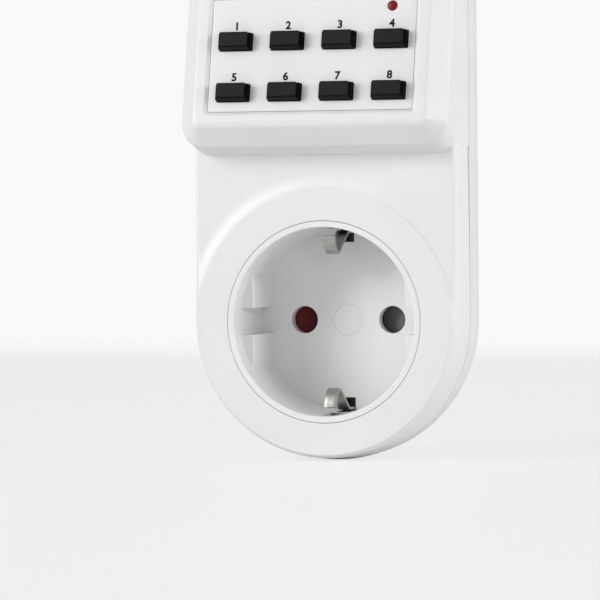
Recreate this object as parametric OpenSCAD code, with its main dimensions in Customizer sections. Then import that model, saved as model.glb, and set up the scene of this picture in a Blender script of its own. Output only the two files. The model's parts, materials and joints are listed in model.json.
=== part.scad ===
// Plug in timer switch: a digital timer between an earthed round wall outlet and a plug.
// The origin is the centre of the face that carries the two plug pins. +Y points into the
// wall, +Z is up and the outlet, the keys and the display face -Y.
// Depths are counted from the rim of the outlet towards the wall.

/* [Housing] */
// Width of the housing at its parting line
body_w = 57; // [56.6:0.2:57.6]
// Height of the housing above the outlet's axis
top_z = 96.5; // [96:0.5:99]
// Radius of the housing's two top corners
top_r = 12; // [11.5:0.5:12.5]
// Wall of the front and rear housings
wall = 2.2; // [2:0.1:2.3]
// Depth of the flat front below the control block
front_d = 1.2; // [1:0.1:1.4]
// Depth of the line where the two housings meet
parting_d = 9.4; // [9:0.2:9.6]
// Depth of the flat back
back_d = 27.5; // [27.4:0.1:27.6]

/* [Control block] */
// Tilt of the panel, facing up
panel_tilt = 11.67; // [11:0.1:12]
// Height of the middle of the key field
panel_z = 52.08; // [51.5:0.1:52.5]
// Half of the width of the block's flat front
face_half = 24.55; // [24.4:0.05:24.8]
// Half of the width of the inlaid face plate
plate_half = 21.65; // [21.6:0.05:22]
// Width of the slope round the flat front
bevel_w = 3.65; // [3.4:0.05:3.8]
// Depth of the slope round the flat front
bevel_h = 3.4; // [3.2:0.1:3.6]

/* [Keys] */
// Distance between key columns
pitch_x = 11; // [10.8:0.1:11.2]
// Distance between key rows
pitch_v = 10.6; // [10.4:0.1:10.8]
// Width of a key cap
cap_w = 7; // [6.8:0.1:7.1]
// Height of a key cap
cap_h = 3.95; // [3.8:0.05:4.1]
// How far a key cap stands out of the block's flat front
cap_out = 1.65; // [1.55:0.05:1.75]
// Travel of a key
key_travel = 1; // [0.8:0.1:1]

/* [Outlet] */
// Radius of the well at its mouth
mouth_r = 19.3; // [19.2:0.1:19.4]
// Radius of the well at its floor
floor_r = 18.8; // [18.7:0.1:18.9]
// Depth of the well
floor_d = 17; // [16.8:0.1:17.2]
// Distance of each pin hole from the axis
pin_x = 9.5; // [9.4:0.05:9.6]
// Radius of each pin hole
hole_r = 2.85; // [2.8:0.05:2.9]
// Travel of the shutters
shutter_travel = 5.4; // [5.3:0.05:5.5]

/* [Plug] */
// Depth of the face that carries the pins
plug_d = 45; // [44.8:0.1:45.2]
// Radius of a plug pin
pin_r = 2.4; // [2.35:0.05:2.4]
// Length of a plug pin in front of the plug's face
pin_l = 19; // [18.5:0.5:19.5]
// Radius of the plug body
plug_r = 19; // [18.9:0.05:19]
// Half of the plug body's width across its flats
plug_flat = 16; // [15.9:0.05:16.1]

/* [Hidden] */
$fn = 64;

eps = 0.01;
past = 1;
body_half = body_w / 2;
rim_y = -plug_d;
panel_d = -6.68;
hull_fn = 32;
arc_steps = 8;

// Front edge of the lower body
front_draft = 0.7;
front_fillet = 0.8;
body_shoulder_z = 50;

// Raised ring round the outlet
collar_r = 27.5;
collar_edge = 0.15;
cove_w = 1.9;
seat_r = 20.67;

// Control block, in the panel's own plane: v runs up the slope, w out of it
face_low = -12.13;
bevel_low = face_low - bevel_w;
bevel_low_h = 4.76;
bevel_top = (top_z - panel_z + bevel_h * sin(panel_tilt)) / cos(panel_tilt);
face_high = bevel_top - bevel_w;
outer_half = face_half + bevel_w;
block_foot_z = 31.9;
block_foot_r = 4.5;
face_corner = 1.2;
plate_corner = 0.35;
skin = 0.05;

// Face plate and display window
plate_t = 0.7;
plate_sink = 0.45;
rim_slope = 0.65;
plate_low = -9.3;
plate_split = 14.2;
window_high = 38.8;
window_t = 0.75;
inlay_gap = 0.12;
sight_half = 19;
sight_low = 17.5;
sight_high = 35.5;

// Key field: its middle, its columns and its rows
key_mid = [0.15, -0.12];
key_columns = [-1.5 * pitch_x, -0.5 * pitch_x, 0.5 * pitch_x, 1.5 * pitch_x];
key_rows = [pitch_v / 2, -pitch_v / 2];
cap_edge = 0.5;
cap_taper = [0.5, 0.38];
cap_taper_w = 1.2;
cap_gap = 0.15;
flange_w = 0.8;
flange_t = 0.8;
flange_w_front = -wall - 0.2;
light_r = 1;
light_shift = [-0.11, 6.91];
light_out = -0.1;

// Layers behind the panel: a key's flange, the mat's dome and sheet, and the board
dome_top = flange_w_front - flange_t;
mat_front = dome_top - key_travel - 0.7;
board_w_front = mat_front - 0.6;
board_w_back = board_w_front - 1.2;
dome_r = 2.1;

// Outlet insert
lip_r = 20.57;
lip_d = 3.2;
cup_r = 20.3;
flange_r = 22.6;
flange_d0 = front_d + wall;
flange_d1 = flange_d0 + 2;
floor_t = 2.2;
floor_back = floor_d + floor_t;
skirt_r = 19;
skirt_end = 24.9;
land_x = 16.2;
land_z0 = 2.75;
land_z1 = 9.5;
land_d = 4;
hub_r = 3.2;
carrier_d = 25.2;

// Plug
plug_seat_d = 26.4;
plug_ledge = 1;
seat_gap = 0.05;
face_wall = 3;
plug_inner_r = 17;
plug_inner_flat = 14;
rib_half_z = 2.3;
rib_x = 18.5;
earth_slot_half = 2.3;
earth_face = 15.8;
earth_slot_d = 29.5;
pin_shoulder_d = 38.4;
pin_shoulder_r = 3.4;
pin_neck_r = 2;

// Screws
housing_low = [16.7, -16.7];
housing_high = [18, 92];
boss_r = 2.4;
screw_r = 1.4;
housing_head_r = 2.2;
screw_head_r = 2.7;
screw_head_t = 1.6;
head_seat_d = 20;

// Power board
board_d0 = 10;
board_d1 = 11.6;
board_half = 23;
board_z0 = 28;
board_z1 = 88;
post_at = [20.5, 62];
post_r = 2.4;

// ---------- placing ----------

// Depth 0 is the plane of the outlet's rim
module at_rim() translate([0, rim_y, 0]) children();

// A flat outline seen from the front, made solid between two depths
module slab(d0, d1) at_rim() translate([0, d1, 0]) rotate([90, 0, 0]) linear_extrude(d1 - d0) children();

// A profile of [radius, depth] points turned about an axis parallel to the outlet's
module turned(profile, x = 0, z = 0, fn = 96)
    at_rim() translate([x, 0, z]) rotate([-90, 0, 0]) rotate_extrude($fn = fn) polygon(profile);

module rod(at, d0, d1, r)
    at_rim() translate([at[0], d0, at[1]]) rotate([-90, 0, 0]) cylinder(h = d1 - d0, r = r);

// A box from ranges of x, depth and z
module brick(x, d, z)
    at_rim() translate([x[0], d[0], z[0]]) cube([x[1] - x[0], d[1] - d[0], z[1] - z[0]]);

// A bar across the width, from an outline of [depth, height] points
module bar(half, outline)
    at_rim() translate([-half, 0, 0]) rotate([90, 0, 90]) linear_extrude(2 * half) polygon(outline);

// The panel's own frame: x right, y up the slope, z out of it
module on_panel() translate([0, rim_y + panel_d, panel_z]) rotate([90 - panel_tilt, 0, 0]) children();

// A box in the panel's frame, from ranges of x, v and w
module panel_brick(x, v, w)
    on_panel() translate([x[0], v[0], w[0]]) cube([x[1] - x[0], v[1] - v[0], w[1] - w[0]]);

module panel_rod(at, w0, w1, r) on_panel() translate([at[0], at[1], w0]) cylinder(h = w1 - w0, r = r);

module both() {
    children();
    mirror([1, 0, 0]) children();
}

module above_below() {
    children();
    mirror([0, 0, 1]) children();
}

// An outline with rounded corners, from x and y ranges
module rounded(x, y, low_r, high_r) {
    union() {
        translate([x[0] + low_r, y[0]]) square([x[1] - x[0] - 2 * low_r, y[1] - y[0] - high_r]);
        translate([x[0], y[0] + low_r]) square([x[1] - x[0], y[1] - y[0] - low_r - high_r]);
        translate([x[0] + high_r, y[1] - 2 * high_r]) square([x[1] - x[0] - 2 * high_r, 2 * high_r]);
        for (side = [x[0] + low_r, x[1] - low_r]) translate([side, y[0] + low_r]) circle(low_r);
        for (side = [x[0] + high_r, x[1] - high_r]) translate([side, y[1] - high_r]) circle(high_r);
    }
}

// ---------- housing forms ----------

// Edge profiles are lists of [inset from the outline, depth]
front_edge = [for (i = [0:arc_steps]) let (a = 90 * i / arc_steps)
    [front_draft + front_fillet * (1 - sin(a)), front_d + front_fillet * (1 - cos(a))]];
rear_straight_d = 12.1;
function rear_edge(inset, end_d) = [for (i = [0:arc_steps]) let (a = 90 * i / arc_steps)
    [inset * (1 - cos(a)), rear_straight_d + (end_d - rear_straight_d) * sin(a)]];

// The hollow slope round the raised ring, from the ring's edge down to the front
cove = [for (i = [0:arc_steps]) let (a = 90 * i / arc_steps)
    [collar_r + cove_w * (1 - cos(a)), collar_edge + (front_d - collar_edge) * sin(a)]];

// Half round at the foot and straight sides above it
module footed(edge, half, high) {
    first = edge[0][1];
    last = edge[len(edge) - 1][1];
    side = [for (p = edge) [half - p[0], p[1]]];
    turned(concat([[0, first]], side, [[0, last]]));
    at_rim() linear_extrude(high) union() {
        polygon(concat([[0, first]], side, [[0, last]]));
        mirror([1, 0]) polygon(concat([[0, first]], side, [[0, last]]));
    }
}

// The same with a straight top and two rounded top corners
module cased(edge, half, corner, high) {
    first = edge[0][1];
    last = edge[len(edge) - 1][1];
    over = [for (p = edge) [p[1], high - p[0]]];
    round_edge = concat([[0, first]], [for (p = edge) [corner - p[0], p[1]]], [[0, last]]);
    footed(edge, half, high - corner);
    bar(half - corner, concat([[first, high - corner - past]], over, [[last, high - corner - past]]));
    for (x = [corner - half, half - corner]) turned(round_edge, x, high - corner, $fn);
}

// The tilted block, with its slopes; inset g shrinks it to the inside of the wall
module block(g) {
    side = g / 2;
    hull() {
        on_panel() translate([0, 0, -g - skin]) linear_extrude(skin)
            rounded([side - face_half, face_half - side], [face_low + side, face_high - side],
                face_corner, top_r - bevel_w - side, $fn = hull_fn);
        on_panel() translate([0, 0, -g / 2 - bevel_h - skin]) linear_extrude(skin)
            rounded([g - outer_half, outer_half - g], [face_low - bevel_w * bevel_h / bevel_low_h + g,
                bevel_top - g], block_foot_r - side, top_r - g, $fn = hull_fn);
        on_panel() translate([0, 0, -g / 2 - bevel_low_h - skin]) linear_extrude(skin)
            rounded([g - outer_half, outer_half - g], [bevel_low + g, face_high],
                block_foot_r - side, top_r - g, $fn = hull_fn);
        slab(parting_d - skin, parting_d)
            rounded([g - body_half, body_half - g], [block_foot_z + g, top_z - g],
                block_foot_r - side, top_r - g, $fn = hull_fn);
    }
}

module key_places() for (v = key_rows) for (x = key_columns)
    translate([key_mid[0] + x, key_mid[1] + v, 0]) children();

light_at = key_mid + [key_columns[3], key_rows[0]] + light_shift;
panel_post_x = 22.6;
panel_post_r = 1.6;
panel_post_hole = 0.9;
insert_ear_x = 24;
insert_ear_r = 2.2;
insert_screw_r = 0.8;
insert_screw_tip = 1.8;

// Outline of the recess for the plate and the window; it slopes outwards to the block's front
module recess(grow) rounded([-plate_half - grow, plate_half + grow],
    [plate_low - grow, window_high + grow], plate_corner + grow / 2, face_corner + grow / 2);

module front_housing() color("whitesmoke") {
    difference() {
        union() {
            footed(concat(front_edge, [[0, parting_d]]), body_half, body_shoulder_z);
            intersection() {
                turned(concat([[0, 0], [collar_r - collar_edge, 0]], cove,
                    [[collar_r + cove_w, front_d + past], [0, front_d + past]]));
                footed([[front_draft, -past], [front_draft, front_d + 2 * past]], body_half, body_shoulder_z);
            }
            block(0);
        }
        difference() {
            union() {
                footed([[0, flange_d0], [0, parting_d + past]], body_half - wall, body_shoulder_z);
                difference() {
                    block(wall);
                    brick([-body_w, body_w], [-body_w, flange_d0], [-body_w, block_foot_z + wall]);
                }
                brick([wall - body_half, body_half - wall], [parting_d - past, parting_d + past],
                    [block_foot_z + past, top_z - top_r]);
            }
            both() for (at = [housing_low, housing_high]) rod(at, -past, parting_d + 2 * past, boss_r);
            both() panel_rod([panel_post_x, 0], board_w_front, 0, panel_post_r);
        }
        rod([0, 0], -past, flange_d1, seat_r);
        both() for (at = [housing_low, housing_high]) rod(at, flange_d1, parting_d + 2 * past, screw_r);
        both() rod([insert_ear_x, 0], insert_screw_tip, flange_d1, insert_screw_r);
        both() panel_rod([panel_post_x, 0], board_w_front - eps, -wall, panel_post_hole);
        on_panel() {
            translate([0, 0, -plate_sink - plate_t]) linear_extrude(plate_t + plate_sink + past)
                recess(inlay_gap);
            hull() {
                translate([0, 0, -plate_sink]) linear_extrude(skin) recess(inlay_gap);
                translate([0, 0, plate_sink]) linear_extrude(skin) recess(inlay_gap + 2 * rim_slope);
            }
            key_places() translate([-cap_w / 2 - cap_gap, -cap_h / 2 - cap_gap, -wall - past])
                cube([cap_w + 2 * cap_gap, cap_h + 2 * cap_gap, wall + 2 * past]);
            translate([light_at[0], light_at[1], -wall - past])
                cylinder(h = wall + 2 * past, r = light_r + 0.1);
            translate([-sight_half, sight_low, -wall - past])
                cube([2 * sight_half, sight_high - sight_low, wall + 2 * past]);
        }
    }
}

// The plug's outline: round with a flat at each side, and a rib across each flat
module flatted(r, flat) intersection() {
    circle(r, $fn = 96);
    square([2 * flat, 3 * r], center = true);
}

module plug_outline(gap) {
    flatted(plug_r + gap, plug_flat + gap);
    square(2 * [rib_x + gap, rib_half_z + gap], center = true);
}

inner_back = back_d - wall;
inner_inset = 8.5;
tower_r = 3;

module rear_housing() color("whitesmoke") {
    difference() {
        union() {
            difference() {
                cased(concat([[0, parting_d]], rear_edge(10, back_d)), body_half, top_r, top_z);
                cased(concat([[0, parting_d - past]], rear_edge(inner_inset, inner_back)),
                    body_half - wall, top_r - wall, top_z - wall);
            }
            intersection() {
                cased(concat([[0, parting_d]], rear_edge(10, back_d)), body_half, top_r, top_z);
                both() {
                    for (at = [housing_low, housing_high]) rod(at, parting_d, back_d, tower_r);
                    rod(post_at, board_d1, back_d, post_r);
                }
            }
        }
        slab(inner_back - past, plug_seat_d + eps)
            flatted(plug_r - plug_ledge + seat_gap, plug_flat - plug_ledge + seat_gap);
        slab(plug_seat_d, back_d + past) plug_outline(seat_gap);
        both() {
            for (at = [housing_low, housing_high]) {
                rod(at, parting_d - past, back_d + past, screw_r + 0.2);
                rod(at, head_seat_d, back_d + past, housing_head_r + 0.2);
            }
            rod(post_at, board_d1 - past, board_d1 + 6, panel_post_hole);
        }
    }
}

// The plug body sits in a stepped opening in the rear housing and is welded there
module plug_body() color("whitesmoke") difference() {
    union() {
        slab(inner_back, plug_seat_d + eps) flatted(plug_r - plug_ledge, plug_flat - plug_ledge);
        slab(plug_seat_d, plug_d) plug_outline(0);
    }
    slab(inner_back - past, plug_d - face_wall) flatted(plug_inner_r, plug_inner_flat);
    both() rod([pin_x, 0], plug_d - face_wall - past, plug_d + past, pin_neck_r + seat_gap);
    above_below() brick([-earth_slot_half, earth_slot_half], [earth_slot_d, plug_d + past],
        [earth_face, plug_r + past]);
}

module face_plate() color("gainsboro") difference() {
    on_panel() translate([0, 0, -plate_sink - plate_t]) linear_extrude(plate_t)
        rounded([-plate_half, plate_half], [plate_low, plate_split - inlay_gap], plate_corner, 0.3);
    on_panel() {
        key_places() translate([-cap_w / 2 - cap_gap, -cap_h / 2 - cap_gap, -plate_sink - plate_t - past])
            cube([cap_w + 2 * cap_gap, cap_h + 2 * cap_gap, plate_t + 2 * past]);
        translate([light_at[0], light_at[1], -plate_sink - plate_t - past])
            cylinder(h = plate_t + 2 * past, r = light_r + 0.1);
    }
}

module display_window() color("lightgrey") on_panel() {
    translate([0, 0, -plate_sink - plate_t]) linear_extrude(window_t)
        rounded([-plate_half, plate_half], [plate_split, window_high], 0.3, face_corner);
}

cell_half = 20;
cell_v = [16.1, 36.9];
cell_w = [-4.3, -2.3];
frame_half = 21.6;
frame_v = [14.9, 38];

module display_frame() color("white") difference() {
    panel_brick([-frame_half, frame_half], frame_v, [board_w_front, -wall]);
    panel_brick([-cell_half - 0.1, cell_half + 0.1], cell_v + [-0.1, 0.1], [board_w_front - past, past]);
}

module display_cell() color("darkseagreen") panel_brick([-cell_half, cell_half], cell_v, cell_w);

module display_contacts() color("dimgray") for (v = [cell_v[0] + 0.3, cell_v[1] - 2.3])
    panel_brick([-sight_half + 1, sight_half - 1], [v, v + 2], [board_w_front, cell_w[0]]);

// One key: a cap that narrows to its top and a flange that keeps it behind the wall
module key(column, row) color([0.09, 0.09, 0.1]) on_panel()
    translate([key_mid[0] + key_columns[column], key_mid[1] + key_rows[row], 0]) {
        hull() {
            translate([0, 0, flange_w_front]) linear_extrude(cap_out - flange_w_front - cap_taper_w)
                rounded([-cap_w / 2, cap_w / 2], [-cap_h / 2, cap_h / 2], cap_edge, cap_edge, $fn = hull_fn);
            translate([0, 0, cap_out - skin]) linear_extrude(skin)
                rounded([cap_taper[0] - cap_w / 2, cap_w / 2 - cap_taper[0]],
                    [cap_taper[1] - cap_h / 2, cap_h / 2 - cap_taper[1]], cap_edge, cap_edge, $fn = hull_fn);
        }
        translate([-cap_w / 2 - flange_w, -cap_h / 2 - flange_w, flange_w_front - flange_t])
            cube([cap_w + 2 * flange_w, cap_h + 2 * flange_w, flange_t]);
    }

module hour_key() key(0, 0);
module minute_key() key(1, 0);
module day_key() key(2, 0);
module clock_key() key(3, 0);
module program_key() key(0, 1);
module season_key() key(1, 1);
module mode_key() key(2, 1);
module reset_key() key(3, 1);

module status_light() color("red") on_panel() translate([light_at[0], light_at[1], 0]) {
    translate([0, 0, board_w_front]) cylinder(h = -board_w_front + light_out - light_r / 2, r = light_r);
    translate([0, 0, light_out - light_r / 2]) intersection() {
        sphere(light_r, $fn = 48);
        translate([-light_r, -light_r, -light_r / 4]) cube([2 * light_r, 2 * light_r, light_r]);
    }
}

mat_half = 20.8;
mat_v = 10.4;

module key_mat() color("dimgray") on_panel() {
    translate([-mat_half, -mat_v, board_w_front]) cube([2 * mat_half, 2 * mat_v, mat_front - board_w_front]);
    key_places() translate([0, 0, mat_front - eps]) cylinder(h = dome_top - mat_front + eps, r = dome_r);
}

control_half = 24;
control_v = [-13, 38];

module control_board() color("seagreen") difference() {
    panel_brick([-control_half, control_half], control_v, [board_w_back, board_w_front]);
    both() panel_rod([panel_post_x, 0], board_w_back - past, board_w_front + past, panel_post_hole + 0.1);
}

chip_at = [10.5, 20];
chip_size = 10;
chip_t = 1.2;
crystal_at = [-10, 26];
crystal_r = 1.5;
crystal_l = 7;
battery_at = [-9, -2];
battery_r = 8;
battery_w = [-12.4, -7.3];
clip_t = 0.4;

module controller_chip() color("black") panel_brick([chip_at[0], chip_at[0] + chip_size],
    [chip_at[1], chip_at[1] + chip_size], [board_w_back - chip_t, board_w_back]);

module clock_crystal() color("silver") on_panel()
    translate([crystal_at[0], crystal_at[1], board_w_back - crystal_r])
        rotate([0, 90, 0]) cylinder(h = crystal_l, r = crystal_r);

module backup_battery() color("silver") panel_rod(battery_at, battery_w[0], battery_w[1], battery_r);

module battery_clip() color("khaki") {
    panel_brick([battery_at[0] - 2, battery_at[0] + 2], [battery_at[1] - battery_r - 1, battery_at[1]],
        [battery_w[0] - clip_t, battery_w[0]]);
    panel_brick([battery_at[0] - 2, battery_at[0] + 2],
        [battery_at[1] - battery_r - 1, battery_at[1] - battery_r - 1 + clip_t],
        [battery_w[0] - clip_t, board_w_back]);
    panel_brick([battery_at[0] - 3, battery_at[0] + 3], [battery_at[1] - battery_r - 1, battery_at[1] + 6],
        [battery_w[1], board_w_back]);
}

link_half = 9;
link_z = [80, 83];

module board_link() color("ivory") difference() {
    brick([-link_half, link_half], [0, board_d0], link_z);
    panel_brick([-body_w, body_w], [-body_w, body_w], [board_w_back, body_w]);
}

module power_board() color("seagreen") difference() {
    brick([-board_half, board_half], [board_d0, board_d1], [board_z0, board_z1]);
    both() rod(post_at, board_d0 - past, board_d1 + past, panel_post_hole + 0.1);
}

// ---------- relay ----------

relay_x = [2, 15];
relay_z = [37, 66];
relay_d1 = 24.6;
relay_wall = 0.8;
relay_base_t = 1.6;
relay_floor = board_d1 + relay_base_t;
relay_mid = (relay_x[0] + relay_x[1]) / 2;
coil_d = 18.6;
coil_z = [40, 54];
coil_r = 3.8;
bobbin_r = 4.4;
core_r = 1.6;
armature_z = [56.3, 57.4];
armature_half = 4;
armature_d = [14, 22.5];

module relay_case() color("steelblue") difference() {
    brick(relay_x, [board_d1, relay_d1], relay_z);
    brick(relay_x + [relay_wall, -relay_wall], [board_d1 - past, relay_d1 - relay_wall],
        relay_z + [relay_wall, -relay_wall]);
}

module relay_base() color("dimgray") brick(relay_x + [relay_wall, -relay_wall], [board_d1, relay_floor],
    relay_z + [relay_wall, -relay_wall]);

module along_z(z, r) at_rim() translate([relay_mid, coil_d, z[0]]) cylinder(h = z[1] - z[0], r = r);

module relay_coil() color("chocolate") difference() {
    union() {
        along_z(coil_z, coil_r);
        along_z([coil_z[0], coil_z[0] + 1], bobbin_r);
        along_z([coil_z[1] - 1, coil_z[1]], bobbin_r);
    }
    along_z([coil_z[0] - past, coil_z[1] + past], core_r + 0.05);
}

module relay_yoke() color("silver") {
    brick([relay_mid - armature_half, relay_mid + armature_half], [relay_floor, relay_floor + 0.8],
        [coil_z[0] - 1.2, armature_z[0] - 0.6]);
    brick([relay_mid - armature_half, relay_mid + armature_half], [relay_floor, coil_d + 3],
        [coil_z[0] - 1.2, coil_z[0]]);
    along_z([coil_z[0] - past, coil_z[1] + 1.4], core_r);
}

module relay_armature() color("silver") {
    brick([relay_mid - armature_half, relay_mid + armature_half], armature_d, armature_z);
    brick([relay_mid - 1, relay_mid + 1], [armature_d[1] - 1.5, armature_d[1] - 0.5], [armature_z[1], 59.8]);
}

module relay_contacts() color("goldenrod") for (z = [60, 62.2]) {
    brick([relay_mid - 3, relay_mid + 3], [relay_floor, 22], [z, z + 0.5]);
    at_rim() translate([relay_mid, 19.5, z + 0.5]) cylinder(h = 0.6, r = 1.2);
}

// ---------- parts on the power board ----------

capacitor_x = [-21, -13];
capacitor_z = [34, 52];
capacitor_d1 = 23;
can_at = [[-8, 58], [-8, 68]];
can_r = 4;
can_d1 = 22.6;
disc_at = [-6, 44];
disc_r = 5;
disc_t = 4;
disc_d = 17.4;
lead_r = 0.4;
fuse_x = -15.5;
fuse_z = [66, 86];
fuse_r = 2.6;
fuse_d = 15;
fuse_cap_l = 5;
fuse_clip_t = 1.2;
diode_z = [76, 79, 82, 85];
diode_x = [-10, -5];
diode_r = 1.3;

module mains_capacitor() color("gold") brick(capacitor_x, [board_d1, capacitor_d1], capacitor_z);

module smoothing_capacitors() color("midnightblue") for (at = can_at) rod(at, board_d1, can_d1, can_r);

module surge_disc() color("royalblue") {
    at_rim() translate([disc_at[0] - disc_t / 2, disc_d, disc_at[1]]) rotate([0, 90, 0])
        cylinder(h = disc_t, r = disc_r);
    for (z = [-1.5, 1.5]) rod([disc_at[0], disc_at[1] + z], board_d1, disc_d, lead_r);
}

module fuse() color("silver") {
    at_rim() translate([fuse_x, fuse_d, fuse_z[0]]) cylinder(h = fuse_z[1] - fuse_z[0], r = fuse_r - 0.2);
    for (z = [fuse_z[0], fuse_z[1] - fuse_cap_l])
        at_rim() translate([fuse_x, fuse_d, z]) cylinder(h = fuse_cap_l, r = fuse_r);
    for (z = [fuse_z[0] + 1, fuse_z[1] - fuse_clip_t - 1])
        brick([fuse_x - fuse_r, fuse_x + fuse_r], [board_d1, fuse_d], [z, z + fuse_clip_t]);
}

module rectifier_diodes() color("black") for (z = diode_z)
    at_rim() translate([diode_x[0], board_d1 + diode_r, z]) rotate([0, 90, 0])
        cylinder(h = diode_x[1] - diode_x[0], r = diode_r);

// ---------- outlet ----------

clip_half = 1.325;
clip_slot_half = 1.45;
wire_way_half = 12.5;
centre_cap_d = 0.8;
centre_hole_r = 1.5;

module outlet_insert() color("whitesmoke") difference() {
    union() {
        turned([[0, 0.35], [mouth_r, 0.35], [mouth_r, 0], [lip_r, 0], [lip_r, lip_d], [cup_r, lip_d],
            [cup_r, flange_d0], [flange_r, flange_d0], [flange_r, flange_d1], [cup_r, flange_d1],
            [cup_r, skirt_end - 1], [cup_r - 0.8, skirt_end], [skirt_r, skirt_end], [skirt_r, floor_back],
            [hub_r, floor_back], [hub_r, carrier_d], [0, carrier_d]]);
        both() rod([insert_ear_x, 0], flange_d0, flange_d1, insert_ear_r);
        brick([-insert_ear_x, insert_ear_x], [flange_d0, flange_d1], [-insert_ear_r, insert_ear_r]);
    }
    difference() {
        turned([[0, -past], [mouth_r, -past], [mouth_r, 0], [floor_r, floor_d], [0, floor_d]]);
        both() above_below() brick([land_x, body_half], [land_d, floor_d + past], [land_z0, land_z1]);
    }
    both() {
        rod([pin_x, 0], floor_d - past, floor_back + past, hole_r);
        rod([insert_ear_x, 0], flange_d0 - past, flange_d1 + past, insert_screw_r + 0.1);
        rod(housing_low, lip_d + eps, flange_d1 + past, boss_r + 0.2);
    }
    rod([0, 0], floor_d - past, carrier_d + past, centre_hole_r);
    rod([0, 0], floor_d - past, floor_d + centre_cap_d, hub_r + 0.02);
    rod([0, 0], floor_d, floor_d + centre_cap_d + screw_head_t, screw_head_r + 0.05);
    above_below() {
        brick([-clip_slot_half, clip_slot_half], [floor_d - past, floor_back + past], [16.1, 18.9]);
        brick([-clip_slot_half, clip_slot_half], [2.5, 9.5], [mouth_r - 1.5, cup_r + past]);
        brick([-clip_slot_half, clip_slot_half], [12, floor_d + past], [floor_r - 1, cup_r + past]);
    }
    brick([-wire_way_half, wire_way_half], [20.8, skirt_end + past], [10, cup_r + past]);
}

module centre_cap() color("whitesmoke") rod([0, 0], floor_d, floor_d + centre_cap_d, hub_r - 0.03);

module centre_screw() color("silver") {
    rod([0, 0], floor_d + centre_cap_d, floor_d + centre_cap_d + screw_head_t, screw_head_r);
    rod([0, 0], floor_d + centre_cap_d + screw_head_t - eps, carrier_d + 8, centre_hole_r - 0.05);
}

module insert_screws() color("silver") both() {
    rod([insert_ear_x, 0], flange_d1, flange_d1 + 1.2, 2 * insert_screw_r);
    rod([insert_ear_x, 0], insert_screw_tip + 0.1, flange_d1 + eps, insert_screw_r - 0.02);
}

// Shutters: each blocks one pin hole and has a low ramp that a pin pushes outwards
// An open shutter clears the pin and stops just inside the skirt
shutter_in = pin_x + pin_r + 0.05 - shutter_travel;
shutter_reach = 18.3;
shutter_out = shutter_reach - shutter_travel;
shutter_half_z = 3.4;
shutter_d = [19.4, 24.9];
ramp_front_x = 12;
ramp_deep = 1.4;
spring_seat_x = 10.4;
spring_d = 23.1;
spring_pocket_r = 1.6;
spring_r = 1.3;
wire_r = 0.18;
spring_end_x = 18.75;
spring_turns = 6;
turn_points = 12;
wire_sides = 6;

module shutter() difference() {
    at_rim() translate([0, 0, -shutter_half_z]) linear_extrude(2 * shutter_half_z)
        polygon([[shutter_in, shutter_d[1]], [shutter_out, shutter_d[1]], [shutter_out, shutter_d[0]],
            [ramp_front_x, shutter_d[0]], [shutter_in, shutter_d[0] + ramp_deep]]);
    at_rim() translate([spring_seat_x, spring_d, 0]) rotate([0, 90, 0])
        cylinder(h = shutter_out - spring_seat_x + past, r = spring_pocket_r);
}

module right_shutter() color("dimgray") shutter();
module left_shutter() color("maroon") mirror([1, 0, 0]) shutter();

// A coil spring: points of a round wire's section carried round and along x
coil_steps = spring_turns * turn_points;
coil_pitch = (spring_end_x - spring_seat_x - 2 * wire_r) / spring_turns;
coil_points = [for (i = [0:coil_steps]) for (j = [0:wire_sides - 1])
    let (turn = 360 * i / turn_points, side = 360 * j / wire_sides, r = spring_r + wire_r * cos(side))
    [spring_seat_x + wire_r + coil_pitch * i / turn_points + wire_r * sin(side),
        r * cos(turn), r * sin(turn)]];
coil_faces = concat([[for (j = [0:wire_sides - 1]) j]],
    [for (i = [0:coil_steps - 1]) for (j = [0:wire_sides - 1]) let (k = (j + 1) % wire_sides)
        [i * wire_sides + k, i * wire_sides + j, (i + 1) * wire_sides + j, (i + 1) * wire_sides + k]],
    [[for (j = [wire_sides - 1:-1:0]) coil_steps * wire_sides + j]]);

module shutter_spring() at_rim() translate([0, spring_d, 0]) polyhedron(coil_points, coil_faces);

module right_shutter_spring() color("silver") shutter_spring();
module left_shutter_spring() color("silver") mirror([1, 0, 0]) shutter_spring();

// Earth clip: a strip that runs in from its free end to a crest and back to its root
strip_t = 0.55;
clip_path = [[4.3, 17.4], [4.6, 16.5], [5.9, 15.1], [6.6, 14.4], [7.2, 14.1], [7.9, 14.3],
    [12.4, 17.45], [13.3, 18], [14.2, 18.25], [19.6, 18.3]];

function unit(v) = v / norm(v);
function side_of(path, i) = let (a = path[max(i - 1, 0)], b = path[min(i + 1, len(path) - 1)],
    u = unit(b - a)) [-u[1], u[0]];
function ribbon(path, t) = concat([for (i = [0:len(path) - 1]) path[i] + t / 2 * side_of(path, i)],
    [for (i = [len(path) - 1:-1:0]) path[i] - t / 2 * side_of(path, i)]);

module earth_clip() bar(clip_half, ribbon(clip_path, strip_t));

module upper_earth_clip() color("silver") earth_clip();
module lower_earth_clip() color("silver") mirror([0, 0, 1]) earth_clip();

link_root_d = 19.9;
link_cross_d = [23, 23.8];
link_tail_z = 15;

module earth_link() {
    brick([-1.5, 1.5], [link_root_d, link_cross_d[1]], [18, 18.6]);
    brick([-2.2, 2.2], link_cross_d, [link_tail_z, 18.6]);
    brick([-2.2, 2.2], [link_cross_d[0], plug_d - face_wall], [link_tail_z, earth_face]);
}

module upper_earth_link() color("silver") earth_link();
module lower_earth_link() color("silver") mirror([0, 0, 1]) earth_link();

strap_d = [23.8, 24.6];
strap_half = 1.8;
strap_ring_r = 4.8;

module earth_strap() color("goldenrod") difference() {
    union() {
        brick([-strap_half, strap_half], strap_d, [-link_tail_z, link_tail_z]);
        rod([0, 0], strap_d[0], strap_d[1], strap_ring_r);
    }
    rod([0, 0], strap_d[0] - past, strap_d[1] + past, hub_r + 0.15);
}

// ---------- contacts behind the outlet ----------

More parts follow.
